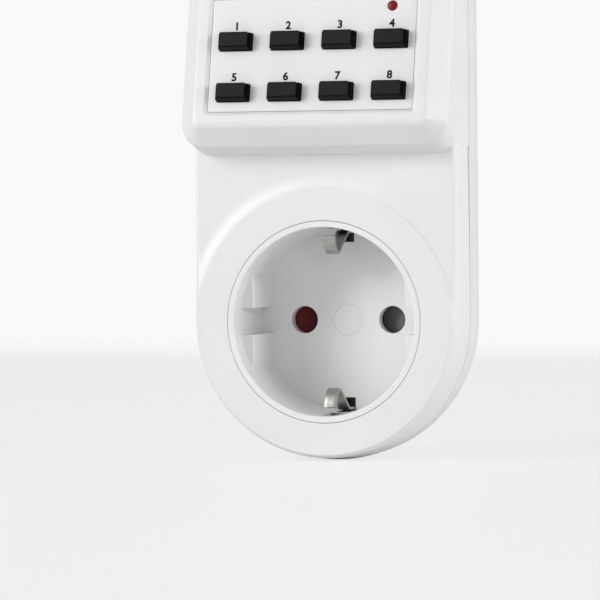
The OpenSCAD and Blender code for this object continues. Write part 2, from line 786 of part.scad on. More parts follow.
carrier_r = 16.4;
carrier_flat = 13.6;
carrier_half_z = 13.9;
carrier_d1 = 37.5;
clamp_r = 3.1;
clamp_inner_r = 2.35;
clamp_slit = 0.8;
clamp_d = 26;
ear_x = [8.2, 11.4];
ear_z = 8;
live_clamp_end = 35.5;
neutral_clamp_end = 37.6;

module contact_carrier() color("tan") difference() {
    slab(carrier_d, carrier_d1) intersection() {
        circle(carrier_r, $fn = 96);
        square([2 * carrier_flat, 2 * carrier_half_z], center = true);
    }
    both() rod([pin_x, 0], carrier_d - past, carrier_d1 + past, clamp_r + 0.1);
    brick(ear_x + [-0.1, 0.1], [carrier_d - past, clamp_d + 0.05], [0, ear_z + 0.1]);
    rod([0, 0], carrier_d - past, carrier_d + 9, centre_hole_r);
}

module clamp(end) difference() {
    rod([pin_x, 0], clamp_d, end, clamp_r);
    rod([pin_x, 0], clamp_d - past, end + past, clamp_inner_r);
    brick([pin_x - clamp_slit / 2, pin_x + clamp_slit / 2], [clamp_d - past, end - 2], [-clamp_r - past, 0]);
}

module live_contact() color("goldenrod") {
    clamp(live_clamp_end);
    difference() {
        union() {
            rod([pin_x, 0], carrier_d, clamp_d, clamp_r);
            brick(ear_x, [carrier_d, clamp_d], [0, ear_z]);
        }
        rod([pin_x, 0], carrier_d - past, clamp_d + past, clamp_inner_r + 0.25);
    }
}

module neutral_contact() color("goldenrod") mirror([1, 0, 0]) clamp(neutral_clamp_end);

strip_x = [3.6, 7.4];
strip_plate_d = [37.6, pin_shoulder_d];
strip_top_z = [14.2, 15];
strip_back_d = [24.4, 25.2];
strip_rise_z = 31;

// A bent strip from a plug pin's shoulder, over the carrier and up to the power board
module pin_strip() {
    difference() {
        union() {
            rod([pin_x, 0], strip_plate_d[0], strip_plate_d[1], pin_shoulder_r);
            brick([strip_x[0], pin_x], strip_plate_d, [-1.9, 1.9]);
        }
        rod([pin_x, 0], strip_plate_d[0] - past, strip_plate_d[1] + past, 1.2);
    }
    brick(strip_x, strip_plate_d, [0, strip_top_z[1]]);
    brick(strip_x, [strip_back_d[0], strip_plate_d[1]], strip_top_z);
    brick(strip_x, strip_back_d, [strip_top_z[0], strip_rise_z + 0.8]);
    brick(strip_x, [board_d1, strip_back_d[1]], [strip_rise_z, strip_rise_z + 0.8]);
}

module live_strip() color("goldenrod") pin_strip();
module neutral_strip() color("goldenrod") mirror([1, 0, 0]) pin_strip();

module switched_strip() color("goldenrod") {
    brick(ear_x, [strip_back_d[0], carrier_d], [4.2, strip_rise_z + 2.8]);
    brick(ear_x, [board_d1, carrier_d], [strip_rise_z + 2, strip_rise_z + 2.8]);
}

pin_tip_l = 1.6;
pin_end_d = plug_d + pin_l;
pin_profile = concat([[0, pin_shoulder_d], [pin_shoulder_r, pin_shoulder_d],
    [pin_shoulder_r, plug_d - face_wall], [pin_neck_r, plug_d - face_wall], [pin_neck_r, plug_d],
    [pin_r, plug_d]],
    [for (i = [0:arc_steps]) let (a = 90 * i / arc_steps)
        [pin_r / 2 * (1 + cos(a)), pin_end_d - pin_tip_l + pin_tip_l * sin(a)]], [[0, pin_end_d]]);

module live_pin() color("silver") turned(pin_profile, pin_x, 0, 64);
module neutral_pin() color("silver") turned(pin_profile, -pin_x, 0, 64);

// ---------- screws ----------

module housing_screws() color("silver") both() for (at = [housing_low, housing_high]) {
    rod(at, head_seat_d, head_seat_d + screw_head_t, housing_head_r);
    rod(at, flange_d1 + 0.6, head_seat_d + eps, screw_r - 0.05);
}

module board_screws() color("silver") both() {
    panel_rod([panel_post_x, 0], board_w_back - 1.1, board_w_back, 2 * panel_post_hole);
    panel_rod([panel_post_x, 0], board_w_back - eps, -wall - 0.6, panel_post_hole - 0.05);
    rod(post_at, board_d0 - 1.1, board_d0, 2 * panel_post_hole);
    rod(post_at, board_d0 - eps, board_d1 + 5, panel_post_hole - 0.05);
}

front_housing();
rear_housing();
plug_body();
face_plate();
display_window();
display_frame();
display_cell();
display_contacts();
hour_key();
minute_key();
day_key();
clock_key();
program_key();
season_key();
mode_key();
reset_key();
status_light();
key_mat();
control_board();
controller_chip();
clock_crystal();
backup_battery();
battery_clip();
board_link();
power_board();
relay_case();
relay_base();
relay_coil();
relay_yoke();
relay_armature();
relay_contacts();
mains_capacitor();
smoothing_capacitors();
surge_disc();
fuse();
rectifier_diodes();
outlet_insert();
centre_cap();
centre_screw();
insert_screws();
left_shutter();
right_shutter();
left_shutter_spring();
right_shutter_spring();
upper_earth_clip();
lower_earth_clip();
upper_earth_link();
lower_earth_link();
earth_strap();
contact_carrier();
live_contact();
neutral_contact();
live_strip();
neutral_strip();
switched_strip();
live_pin();
neutral_pin();
housing_screws();
board_screws();
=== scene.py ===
import bmesh
import bpy
import json
import math
import numpy as np
from mathutils import Matrix, Vector


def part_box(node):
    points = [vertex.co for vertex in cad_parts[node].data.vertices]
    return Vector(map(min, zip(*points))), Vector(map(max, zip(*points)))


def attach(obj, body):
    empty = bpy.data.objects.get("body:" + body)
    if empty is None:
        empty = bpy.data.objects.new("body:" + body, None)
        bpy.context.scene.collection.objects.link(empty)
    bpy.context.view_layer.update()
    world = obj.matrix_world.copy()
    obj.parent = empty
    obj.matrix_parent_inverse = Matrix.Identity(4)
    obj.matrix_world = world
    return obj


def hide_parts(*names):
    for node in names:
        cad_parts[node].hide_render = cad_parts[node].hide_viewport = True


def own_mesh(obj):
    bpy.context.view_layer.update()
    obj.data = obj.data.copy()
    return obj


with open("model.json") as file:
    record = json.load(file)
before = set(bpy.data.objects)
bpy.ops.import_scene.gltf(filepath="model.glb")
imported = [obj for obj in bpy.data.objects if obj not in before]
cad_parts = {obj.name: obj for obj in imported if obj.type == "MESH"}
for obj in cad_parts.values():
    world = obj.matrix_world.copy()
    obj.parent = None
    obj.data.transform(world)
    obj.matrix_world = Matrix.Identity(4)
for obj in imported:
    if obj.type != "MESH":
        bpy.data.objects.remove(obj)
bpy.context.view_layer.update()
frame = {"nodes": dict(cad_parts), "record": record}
scene = bpy.context.scene
nodes = frame["nodes"]
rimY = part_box("outlet_insert")[0].y       # depth 0 is the plane of the outlet's rim
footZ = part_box("rear_housing")[0].z       # the housing's lowest point, where it stands
milli = 0.001
print("frame loaded")

# shared shapes, in millimetres: x, depth behind the rim, z


def toRow(points):
    # millimetres from the rim's centre become metres in the frame
    return np.asarray(points, float).reshape(-1, 3) * milli + np.array([0, rimY, 0])


def addObject(name, data):
    added = bpy.data.objects.new(name, data)
    scene.collection.objects.link(added)
    return added


def gridFaces(rows, columns, closeRows=False):
    # quads between neighbouring rings, each ring closed on itself
    r = np.arange(rows if closeRows else rows - 1)[:, None]
    c = np.arange(columns)[None, :]
    nextR = (r + 1) % rows
    nextC = (c + 1) % columns
    quads = np.stack([r * columns + c, r * columns + nextC, nextR * columns + nextC, nextR * columns + c], -1)
    return quads.reshape(-1, 4).tolist()


def cleanMesh(mesh, sharpAngle):
    # doubles merged, faces outwards, smooth except at edges sharper than the angle
    work = bmesh.new()
    work.from_mesh(mesh)
    bmesh.ops.remove_doubles(work, verts=work.verts, dist=3e-6)
    bmesh.ops.dissolve_degenerate(work, edges=work.edges, dist=2e-6)
    bmesh.ops.recalc_face_normals(work, faces=work.faces)
    work.to_mesh(mesh)
    work.free()
    mesh.shade_smooth()
    mesh.set_sharp_from_angle(angle=math.radians(sharpAngle))


def ringPiece(name, rings, capFirst=False, capLast=False, closeRows=False, sharpAngle=32):
    # a surface through rings of equal point counts, with flat caps where asked
    rings = np.asarray(rings, float)
    rows, columns = rings.shape[:2]
    faces = gridFaces(rows, columns, closeRows)
    if capFirst:
        faces.append(list(range(columns))[::-1])
    if capLast:
        faces.append([(rows - 1) * columns + i for i in range(columns)])
    mesh = bpy.data.meshes.new(name)
    mesh.from_pydata(toRow(rings).tolist(), [], faces)
    cleanMesh(mesh, sharpAngle)
    return addObject(name, mesh)


def joinPieces(name, pieces):
    # one object from several, meshes put together as they are
    work = bmesh.new()
    for piece in pieces:
        work.from_mesh(piece.data)
        bpy.data.objects.remove(piece)
    mesh = bpy.data.meshes.new(name)
    work.to_mesh(mesh)
    work.free()
    return addObject(name, mesh)


def cutAway(piece, cutters, sharpAngle=32):
    # the cutters are taken out of the piece, exactly
    for cutter in cutters:
        step = piece.modifiers.new("cut", "BOOLEAN")
        step.operation = "DIFFERENCE"
        step.solver = "EXACT"
        step.object = cutter
    bpy.context.view_layer.update()
    depsgraph = bpy.context.evaluated_depsgraph_get()
    mesh = bpy.data.meshes.new_from_object(piece.evaluated_get(depsgraph))
    piece.modifiers.clear()
    piece.data = mesh
    for cutter in cutters:
        bpy.data.objects.remove(cutter)
    cleanMesh(mesh, sharpAngle)
    return piece


def place(piece, body, material, replaced=()):
    piece.data.materials.clear()
    piece.data.materials.append(material)
    steady = piece.modifiers.new("even shading", "WEIGHTED_NORMAL")
    steady.keep_sharp = True
    steady.weight = 60
    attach(piece, body)
    if replaced:
        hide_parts(*replaced)
    return piece


def roundedOutline(x, v, lowR, highR, arcLow=16, arcHigh=16, side=12):
    # a closed loop with quarter circle corners, from the lower left corner round to the left side
    corners = [(x[0], v[0], lowR, 180, arcLow), (x[1], v[0], lowR, 270, arcLow),
               (x[1], v[1], highR, 0, arcHigh), (x[0], v[1], highR, 90, arcHigh)]
    loops = []
    for cornerX, cornerV, radius, start, steps in corners:
        angle = np.radians(np.linspace(start, start + 90, steps + 1))
        centreX = cornerX + radius * (1 if cornerX == x[0] else -1)
        centreV = cornerV + radius * (1 if cornerV == v[0] else -1)
        loops.append(np.stack([centreX + radius * np.cos(angle), centreV + radius * np.sin(angle)], -1))
    outline = []
    for loop, following in zip(loops, loops[1:] + loops[:1]):
        outline.append(loop)
        share = np.linspace(0, 1, side + 1)[1:-1, None]
        outline.append(loop[-1] * (1 - share) + following[0] * share)
    return np.concatenate(outline)


def circle(centre, radius, count=64):
    angle = np.linspace(0, 2 * np.pi, count, endpoint=False)
    return np.stack([centre[0] + radius * np.cos(angle), centre[1] + radius * np.sin(angle)], -1)


def atDepth(outline, depth):
    # a front view outline put at a depth, the same for all its points or one for each
    return np.stack([outline[:, 0], np.broadcast_to(depth, len(outline)), outline[:, 1]], -1)


def filletRows(before, corner, after, reach, count):
    # rows that round the corner between two sides: a parabola from reach before it to reach after it
    towards = before - corner
    onwards = after - corner
    start = corner + towards / np.linalg.norm(towards, axis=-1, keepdims=True) * reach
    end = corner + onwards / np.linalg.norm(onwards, axis=-1, keepdims=True) * reach
    t = np.linspace(0, 1, count)[:, None, None]
    return list((1 - t) ** 2 * start + 2 * t * (1 - t) * corner + t ** 2 * end)


def blendRows(first, last, count):
    # straight rows between two rings, without the end ones
    share = np.linspace(0, 1, count + 2)[1:-1]
    return [first * (1 - s) + last * s for s in share]


def turnedPiece(name, profile, centre=(0, 0), count=96, capFirst=True, capLast=True, sharpAngle=32):
    # radius and depth pairs turned about an axis along the depth
    rings = [atDepth(circle(centre, max(radius, 0.002), count), depth) for radius, depth in profile]
    return ringPiece(name, rings, capFirst, capLast, sharpAngle=sharpAngle)


def arcProfile(centre, radius, fromDeg, toDeg, count):
    angle = np.radians(np.linspace(fromDeg, toDeg, count))
    return [(centre[0] + radius * math.cos(a), centre[1] + radius * math.sin(a)) for a in angle]


panel = dict(tilt=11.67, depth=-6.68, middle=52.08)
panelSin = math.sin(math.radians(panel["tilt"]))
panelCos = math.cos(math.radians(panel["tilt"]))


def onPanel(outline, w):
    # x, v up the slope and w out of it become x, depth and z
    v = outline[:, 1]
    w = np.broadcast_to(w, len(v))
    depth = panel["depth"] + v * panelSin - w * panelCos
    return np.stack([outline[:, 0], depth, panel["middle"] + v * panelCos + w * panelSin], -1)


def panelPiece(name, outline, levels, capFirst=True, capLast=True):
    # an outline carried out of the panel: levels are pairs of height and inset
    rings = []
    for w, inset in levels:
        rings.append(onPanel(insetOutline(outline, inset), w))
    return ringPiece(name, rings, capFirst, capLast)


def insetOutline(outline, inset):
    # each point moved inwards along its own normal
    if not inset:
        return outline
    along = np.roll(outline, -1, 0) - np.roll(outline, 1, 0)
    along = along / np.maximum(np.linalg.norm(along, axis=-1, keepdims=True), 1e-9)
    return outline + inset * np.stack([-along[:, 1], along[:, 0]], -1)


# materials


def startMaterial(name):
    material = bpy.data.materials.new(name)
    material.use_nodes = True
    tree = material.node_tree
    return material, tree, tree.nodes["Principled BSDF"]


def newNode(tree, kind):
    return tree.nodes.new("ShaderNode" + kind)


def objectNoise(tree, scale, detail=3.0, stretch=(1, 1, 1)):
    coordinates = newNode(tree, "TexCoord")
    mapping = newNode(tree, "Mapping")
    mapping.inputs["Scale"].default_value = stretch
    noise = newNode(tree, "TexNoise")
    noise.inputs["Scale"].default_value = scale
    noise.inputs["Detail"].default_value = detail
    tree.links.new(coordinates.outputs["Object"], mapping.inputs["Vector"])
    tree.links.new(mapping.outputs["Vector"], noise.inputs["Vector"])
    return noise


def colourRamp(tree, factor, low, high, lowAt=0.35, highAt=0.65):
    ramp = newNode(tree, "ValToRGB")
    ramp.color_ramp.elements[0].position = lowAt
    ramp.color_ramp.elements[1].position = highAt
    ramp.color_ramp.elements[0].color = (*low, 1)
    ramp.color_ramp.elements[1].color = (*high, 1)
    tree.links.new(factor, ramp.inputs["Fac"])
    return ramp.outputs["Color"]


def addBump(tree, shader, height, strength, distance):
    bump = newNode(tree, "Bump")
    bump.inputs["Strength"].default_value = strength
    bump.inputs["Distance"].default_value = distance
    tree.links.new(height, bump.inputs["Height"])
    tree.links.new(bump.outputs["Normal"], shader.inputs["Normal"])


def roughnessRange(tree, shader, factor, low, high):
    spread = newNode(tree, "MapRange")
    spread.inputs["To Min"].default_value = low
    spread.inputs["To Max"].default_value = high
    tree.links.new(factor, spread.inputs["Value"])
    tree.links.new(spread.outputs["Result"], shader.inputs["Roughness"])


def plasticMaterial(name, colour, roughness, grain=2600, bumpHeight=0.000004, cloud=0.012, gloss=0.5):
    # moulded plastic: a fine even grain, faint flow clouds in colour and gloss
    material, tree, shader = startMaterial(name)
    clouds = objectNoise(tree, 55, 2.0)
    low = [max(c * (1 - cloud) - 0.001, 0) for c in colour]
    high = [min(c * (1 + cloud) + 0.001, 1) for c in colour]
    tree.links.new(colourRamp(tree, clouds.outputs["Fac"], low, high), shader.inputs["Base Color"])
    roughnessRange(tree, shader, clouds.outputs["Fac"], roughness - 0.04, roughness + 0.04)
    shader.inputs["Specular IOR Level"].default_value = gloss
    fine = objectNoise(tree, grain, 4.0)
    addBump(tree, shader, fine.outputs["Fac"], 0.35, bumpHeight)
    return material


def metalMaterial(name, colour, roughness, stretch=(1, 1, 1), scale=900, spread=0.12):
    # plated or drawn metal: streaks in gloss and a faint change of tone
    material, tree, shader = startMaterial(name)
    shader.inputs["Metallic"].default_value = 1.0
    streaks = objectNoise(tree, scale, 5.0, stretch)
    low = [c * (1 - spread) for c in colour]
    high = [min(c * (1 + spread / 2), 1) for c in colour]
    tree.links.new(colourRamp(tree, streaks.outputs["Fac"], low, high), shader.inputs["Base Color"])
    roughnessRange(tree, shader, streaks.outputs["Fac"], roughness * 0.7, roughness * 1.3)
    addBump(tree, shader, streaks.outputs["Fac"], 0.25, 0.00001)
    return material


def windowMaterial():
    # clear moulded pane with a faint unevenness
    material, tree, shader = startMaterial("clearPane")
    shader.inputs["Transmission Weight"].default_value = 1.0
    shader.inputs["IOR"].default_value = 1.49
    shader.inputs["Base Color"].default_value = (0.97, 0.98, 0.98, 1)
    haze = objectNoise(tree, 120, 2.0)
    roughnessRange(tree, shader, haze.outputs["Fac"], 0.02, 0.06)
    return material


def boardMaterial():
    # green laminate: a fine glass weave under the resist, and blotches in its tone
    material, tree, shader = startMaterial("boardLaminate")
    blotches = objectNoise(tree, 160, 3.0)
    colour = colourRamp(tree, blotches.outputs["Fac"], (0.02, 0.16, 0.07), (0.04, 0.27, 0.12))
    tree.links.new(colour, shader.inputs["Base Color"])
    shader.inputs["Roughness"].default_value = 0.35
    weave = newNode(tree, "TexWave")
    weave.inputs["Scale"].default_value = 700
    coordinates = newNode(tree, "TexCoord")
    tree.links.new(coordinates.outputs["Object"], weave.inputs["Vector"])
    addBump(tree, shader, weave.outputs["Fac"], 0.3, 0.00001)
    return material


finish = dict(
    housing=plasticMaterial("housingPlastic", (0.82, 0.82, 0.825), 0.36),
    outlet=plasticMaterial("outletPlastic", (0.83, 0.83, 0.83), 0.38),
    # painted shade: a dark colour for the faces deep in the clip slots, where only shade falls
    paintedSlotShade=plasticMaterial("paintedSlotShade", (0.13, 0.125, 0.105), 0.5),
    plate=plasticMaterial("plateFilm", (0.82, 0.82, 0.83), 0.42, grain=3400),
    print=plasticMaterial("printInk", (0.008, 0.008, 0.009), 0.5, grain=5000, gloss=0.1),
    key=plasticMaterial("keyPlastic", (0.006, 0.006, 0.006), 0.5, grain=3000, bumpHeight=0.000008, cloud=0.1,
                        gloss=0.2),
    # key sides and ends: a smoother, duller finish of the key's own, and a darker black that is painted shade
    # for the dark gap round the key's foot
    keySideFinishAndShade=plasticMaterial("keySideFinishAndShade", (0.002, 0.002, 0.002), 0.6, cloud=0.1, gloss=0.08),
    light=plasticMaterial("statusLens", (0.19, 0.008, 0.009), 0.3, cloud=0.06, gloss=0.25),
    redShutter=plasticMaterial("redShutterPlastic", (0.115, 0.007, 0.012), 0.55, cloud=0.08, gloss=0.2),
    greyShutter=plasticMaterial("greyShutterPlastic", (0.13, 0.13, 0.127), 0.55, cloud=0.08, gloss=0.2),
    rubber=plasticMaterial("matRubber", (0.09, 0.09, 0.095), 0.75, cloud=0.08),
    cream=plasticMaterial("innerPlastic", (0.62, 0.58, 0.46), 0.5),
    tan=plasticMaterial("carrierPlastic", (0.5, 0.42, 0.3), 0.55),
    epoxy=plasticMaterial("mouldedEpoxy", (0.02, 0.02, 0.022), 0.5, cloud=0.1),
    relay=plasticMaterial("relayPlastic", (0.03, 0.09, 0.28), 0.35, cloud=0.06),
    yellow=plasticMaterial("capacitorCase", (0.62, 0.36, 0.03), 0.35, cloud=0.05),
    darkCan=plasticMaterial("canSleeve", (0.01, 0.012, 0.05), 0.3, cloud=0.1),
    blueDip=plasticMaterial("discCoating", (0.03, 0.1, 0.4), 0.4, cloud=0.08),
    display=plasticMaterial("displayGrey", (0.30, 0.34, 0.29), 0.18, cloud=0.03),
    nickel=metalMaterial("nickelStrip", (0.52, 0.505, 0.48), 0.42, (1, 0.15, 1), 1200),
    pin=metalMaterial("pinNickel", (0.74, 0.73, 0.71), 0.2, (1, 0.1, 1), 700),
    brass=metalMaterial("brassStrip", (0.78, 0.56, 0.25), 0.28, (1, 1, 0.2), 900),
    steel=metalMaterial("zincSteel", (0.60, 0.61, 0.62), 0.3),
    copper=metalMaterial("coilWire", (0.62, 0.26, 0.10), 0.35, (1, 1, 14), 500),
    board=boardMaterial(),
    pane=windowMaterial(),
)

cadFinish = dict(
    frame_plastic="cream", display_grey="display", grey_rubber="rubber", board_green="board",
    black_epoxy="epoxy", can_silver="steel", spring_brass="brass", link_cream="cream",
    relay_blue="relay", coil_copper="copper", plated_steel="nickel", capacitor_yellow="yellow",
    can_dark="darkCan", disc_blue="blueDip", fuse_body="steel", shutter_red="redShutter",
    shutter_grey="greyShutter", spring_steel="steel", carrier_tan="tan", pin_nickel="pin",
    screw_steel="steel", white_plastic="housing", insert_plastic="outlet", plate_plastic="plate",
    window_clear="pane", key_black="key", light_red="light",
)
for subpart in frame["record"]["subparts"]:
    cadNode = nodes[subpart["node"]]
    chosen = finish[cadFinish[subpart["material_slot"]]]
    for slotIndex in range(max(len(cadNode.material_slots), 1)):
        if slotIndex < len(cadNode.material_slots):
            cadNode.material_slots[slotIndex].material = chosen
        else:
            cadNode.data.materials.append(chosen)
print("materials made")


def smoothCopy(node, name, sharpAngle):
    # a merged copy of a CAD node's mesh, smooth except at edges sharper than the angle
    mesh = nodes[node].data.copy()
    mesh.name = name
    cleanMesh(mesh, sharpAngle)
    return addObject(name, mesh)


# front housing: lower body with the ring round the outlet

housing = dict(half=28.5, draft=0.7, frontDepth=1.2, parting=9.15, seam=0.3, seamDeep=0.6, wall=2.2,
               seatR=20.67, seatEdge=0.06, faceRadii=(21.5, 23, 25, 26.5, 27.1), ringR=27.0, ringEdge=0.4,
               ringWall=0.02, ringStep=0.42, ringSlope=0.45, flatRows=(12, 2, 8), lastRows=(1.6, 1.2),
               edgeRound=0.8, topZ=96.5, topR=12.0, hiddenTop=42.0)
footWidth = 2 * (housing["frontDepth"] - housing["ringStep"]) / housing["ringSlope"]


def ringDepth(radius):
    # a quarter round edge and a low step, then a hollow foot whose slope g falls evenly to the flat front:
    # depth = e - sqrt(e e - u u) at first, then depth = step + g v (1 - v / (2 w))
    h = housing
    past = radius - h["ringR"]
    edge = np.clip(past, 0, h["ringEdge"])
    wall = np.clip((past - h["ringEdge"]) / h["ringWall"], 0, 1)
    foot = np.clip(past - h["ringEdge"] - h["ringWall"], 0, footWidth)
    rounded = h["ringEdge"] - np.sqrt(h["ringEdge"] ** 2 - edge ** 2)
    step = (h["ringStep"] - h["ringEdge"]) * wall
    return rounded + step + h["ringSlope"] * foot * (1 - foot / (2 * footWidth))


def frontBody():
    # in polar form: the raised ring, its hollow slope and the flat front, a rounded front edge,
    # the drafted side, the rim and the inner wall
    h = housing
    columns = 600
    angle = np.linspace(0, 2 * np.pi, columns, endpoint=False)
    cosA, sinA = np.cos(angle), np.sin(angle)

    def reach(half):
        # distance from the axis to the outline: a half circle below, straight sides above
        side = half / np.maximum(np.abs(cosA), 1e-6)
        top = h["hiddenTop"] / np.maximum(sinA, 1e-6)
        return np.where(sinA <= 0, half, np.minimum(side, top))

    frontHalf = h["half"] - h["draft"]
    outer = reach(frontHalf)
    near = np.concatenate([[h["seatR"] + h["seatEdge"], *h["faceRadii"]],
                           h["ringR"] + h["ringEdge"] * np.sin(np.radians(np.linspace(0, 90, 9))),
                           h["ringR"] + h["ringEdge"] + h["ringWall"] + footWidth * np.linspace(0, 1, 20)])
    radii = [np.minimum(r, outer) for r in near]
    inside = np.concatenate([np.linspace(*h["flatRows"]), h["lastRows"], np.linspace(h["edgeRound"], 0, 12)])
    for s in inside:
        radii.append(np.clip(reach(frontHalf - s), radii[-1], outer))
    radii = np.array(radii)
    x = radii * cosA
    z = radii * sinA
    s = np.maximum(np.where(sinA <= 0, frontHalf - radii, frontHalf - np.abs(x)), 0)
    edge = np.clip(h["edgeRound"] - s, 0, h["edgeRound"])
    depth = ringDepth(radii) + h["edgeRound"] - np.sqrt(h["edgeRound"] ** 2 - edge ** 2)
    front = [np.stack([x[i], depth[i], z[i]], -1) for i in range(len(radii))]

    def seat(radius, d):
        return atDepth(circle((0, 0), radius, columns), d)

    def sideRing(half, d):
        r = reach(half)
        return np.stack([r * cosA, np.broadcast_to(d, columns), r * sinA], -1)

    last = front[-1]
    rows = [seat(h["seatR"], h["frontDepth"] + h["wall"]), seat(h["seatR"], h["seatEdge"])]
    rows += filletRows(rows[-1], seat(h["seatR"], 0), front[0], h["seatEdge"] * 0.98, 4)
    rows += front
    for t in np.linspace(0, 1, 9)[1:]:
        d = last[:, 1] + (h["parting"] - last[:, 1]) * t
        share = np.clip((d - h["frontDepth"]) / (h["parting"] - h["frontDepth"]), 0, 1)
        half = frontHalf + h["draft"] * share
        r = reach(frontHalf) + (half - frontHalf)
        rows.append(np.stack([r * cosA, d, r * sinA], -1))
    rows.append(sideRing(h["half"] - h["wall"], h["parting"]))
    rows.append(sideRing(h["half"] - h["wall"], h["frontDepth"] + h["wall"]))
    return ringPiece("frontBody", rows, closeRows=True, sharpAngle=30)


# front housing: tilted control block

block = dict(faceHalf=24.55, faceLow=-12.13, faceHigh=42.38, faceLowR=1.2, faceHighR=8.35,
             slopeHalf=28.2, slopeLow=-15.74, slopeHigh=46.05, slopeDepth=3.4, slopeLowDepth=4.76,
             lowStart=-10, lowFade=2, footR=4.5, footZ=31.9, seatHalf=21.75, seatLow=-9.4, seatHigh=38.9,
             seatR=(0.4, 1.2), seatDepth=1.15, sink=0.45, rimSlope=0.65, rimRound=0.2, ledge=1.3,
             faceRound=0.4, lowRound=1.1, slopeRound=0.6, innerR=(0.6, 7))


def frontBlock():
    # rings from the seat of the face plate, up its sloping rim, over the flat front, down the
    # slope and along the sides to the parting line, and back along the inside
    b = block
    h = housing
    steps = dict(arcLow=14, arcHigh=22, side=16)

    def outline(half, low, high, lowR, highR):
        return roundedOutline((-half, half), (low, high), lowR, highR, **steps)

    def seatOutline(grow, lowR, highR):
        return outline(b["seatHalf"] + grow, b["seatLow"] - grow, b["seatHigh"] + grow, lowR, highR)

    seat = seatOutline(0, *b["seatR"])
    rim = seatOutline(b["rimSlope"], *(r + b["rimSlope"] / 2 for r in b["seatR"]))
    ledge = seatOutline(-b["ledge"], *(r / 2 for r in b["seatR"]))
    faceOutline = outline(b["faceHalf"], b["faceLow"], b["faceHigh"], b["faceLowR"], b["faceHighR"])
    face = onPanel(faceOutline, 0)
    slope = outline(b["slopeHalf"], b["slopeLow"], b["slopeHigh"], b["footR"], h["topR"])
    lowShare = np.clip((b["lowStart"] - slope[:, 1]) / (b["lowStart"] - b["slopeLow"]), 0, 1)
    slopeEnd = onPanel(slope, -b["slopeDepth"] - (b["slopeLowDepth"] - b["slopeDepth"]) * lowShare)
    back = atDepth(outline(h["half"], b["footZ"], h["topZ"], b["footR"], h["topR"]), h["parting"])
    w = h["wall"]
    inBack = atDepth(outline(h["half"] - w, b["footZ"] + w, h["topZ"] - w, b["footR"] - w / 2, h["topR"] - w),
                     h["parting"])
    inSlope = onPanel(outline(b["slopeHalf"] - w, b["slopeLow"] + w, b["slopeHigh"] - w, b["footR"] - w / 2,
                              h["topR"] - w), -b["slopeDepth"] - w / 2)
    inFace = onPanel(outline(b["faceHalf"] - w / 2, b["faceLow"] + w / 2, b["faceHigh"] - w / 2,
                             *b["innerR"]), -w)
    rows = [onPanel(ledge, -w), onPanel(ledge, -b["seatDepth"]), onPanel(seat, -b["seatDepth"]),
            onPanel(seat, -b["sink"])]
    rows += filletRows(rows[-1], onPanel(rim, 0), face, b["rimRound"], 6)
    low = np.clip((b["faceLow"] + b["lowFade"] - faceOutline[:, 1]) / b["lowFade"], 0, 1)[:, None]
    rows += filletRows(onPanel(rim, 0), face, slopeEnd, b["faceRound"] * (1 - low) + b["lowRound"] * low, 9)
    first = filletRows(face, slopeEnd, back, b["slopeRound"], 9)
    rows += blendRows(rows[-1], first[0], 3) + first
    rows += blendRows(first[-1], back, 7) + [back, inBack, inSlope, inFace]
    return ringPiece("frontBlock", rows, closeRows=True, sharpAngle=30)


# rear housing and plug body

rear = dict(straight=13.3, draft=0.15, back=27.5, inset=10.0, innerInset=8.5, steps=22,
            gap=0.02, screwAt=((16.7, -16.7), (18.0, 92.0)), screwSeat=20.0, screwR=2.4, cutPast=2)
plug = dict(radius=19.0, flat=16.0, ribX=18.5, ribZ=2.3, face=45.0, slotHalf=2.3, slotFloor=15.8,
            slotStart=29.5, root=3, edge=0.7, pinX=9.5, pinR=2.5, pinSeat=2.5, cutPast=1)
pinShape = dict(radius=2.4, collarR=3.4, collar=(38.4, 42), neck=0.1, neckEnd=44.8,
                shank=(45, 49, 53, 57, 61), end=64.0, tip=1.6)


def rearOutline(inset, wall=0.0):
    h = housing
    half = h["half"] - wall - inset
    top = h["topZ"] - wall - inset
    return roundedOutline((-half, half), (-half, top), half, h["topR"] - wall - inset,
                          arcLow=48, arcHigh=20, side=10)


def rearShell():
    # a seam all round, drafted sides, an elliptical shoulder to the flat back; the inside follows
    h = housing
    r = rear

    def ring(inset, depth, wall=0.0):
        return atDepth(rearOutline(inset, wall), depth)

    rows = []
    turn = np.radians(np.linspace(0, 90, r["steps"]))
    for a in turn[::-1]:
        depth = r["straight"] + (r["back"] - h["wall"] - r["straight"]) * math.sin(a)
        rows.append(ring(r["innerInset"] * (1 - math.cos(a)), depth, h["wall"]))
    front = h["parting"] + r["gap"]
    start = h["parting"] + h["seam"]
    rows += [ring(0, front, h["wall"]), ring(h["seamDeep"], front)]
    rows += [ring(h["seamDeep"], start), ring(0, start)]
    rows += blendRows(rows[-1], ring(r["draft"], r["straight"]), 3)
    for a in turn:
        depth = r["straight"] + (r["back"] - r["straight"]) * math.sin(a)
        rows.append(ring(r["draft"] + (r["inset"] - r["draft"]) * (1 - math.cos(a)), depth))
    shell = ringPiece("rearShell", rows, capFirst=True, capLast=True, sharpAngle=30)
    cutters = []
    for x, z in r["screwAt"]:
        for side in (-1, 1):
            bore = [(r["screwR"], r["screwSeat"]), (r["screwR"], r["back"] + r["cutPast"])]
            cutters.append(turnedPiece("screwBore", bore, (side * x, z), 40))
    return cutAway(shell, cutters)


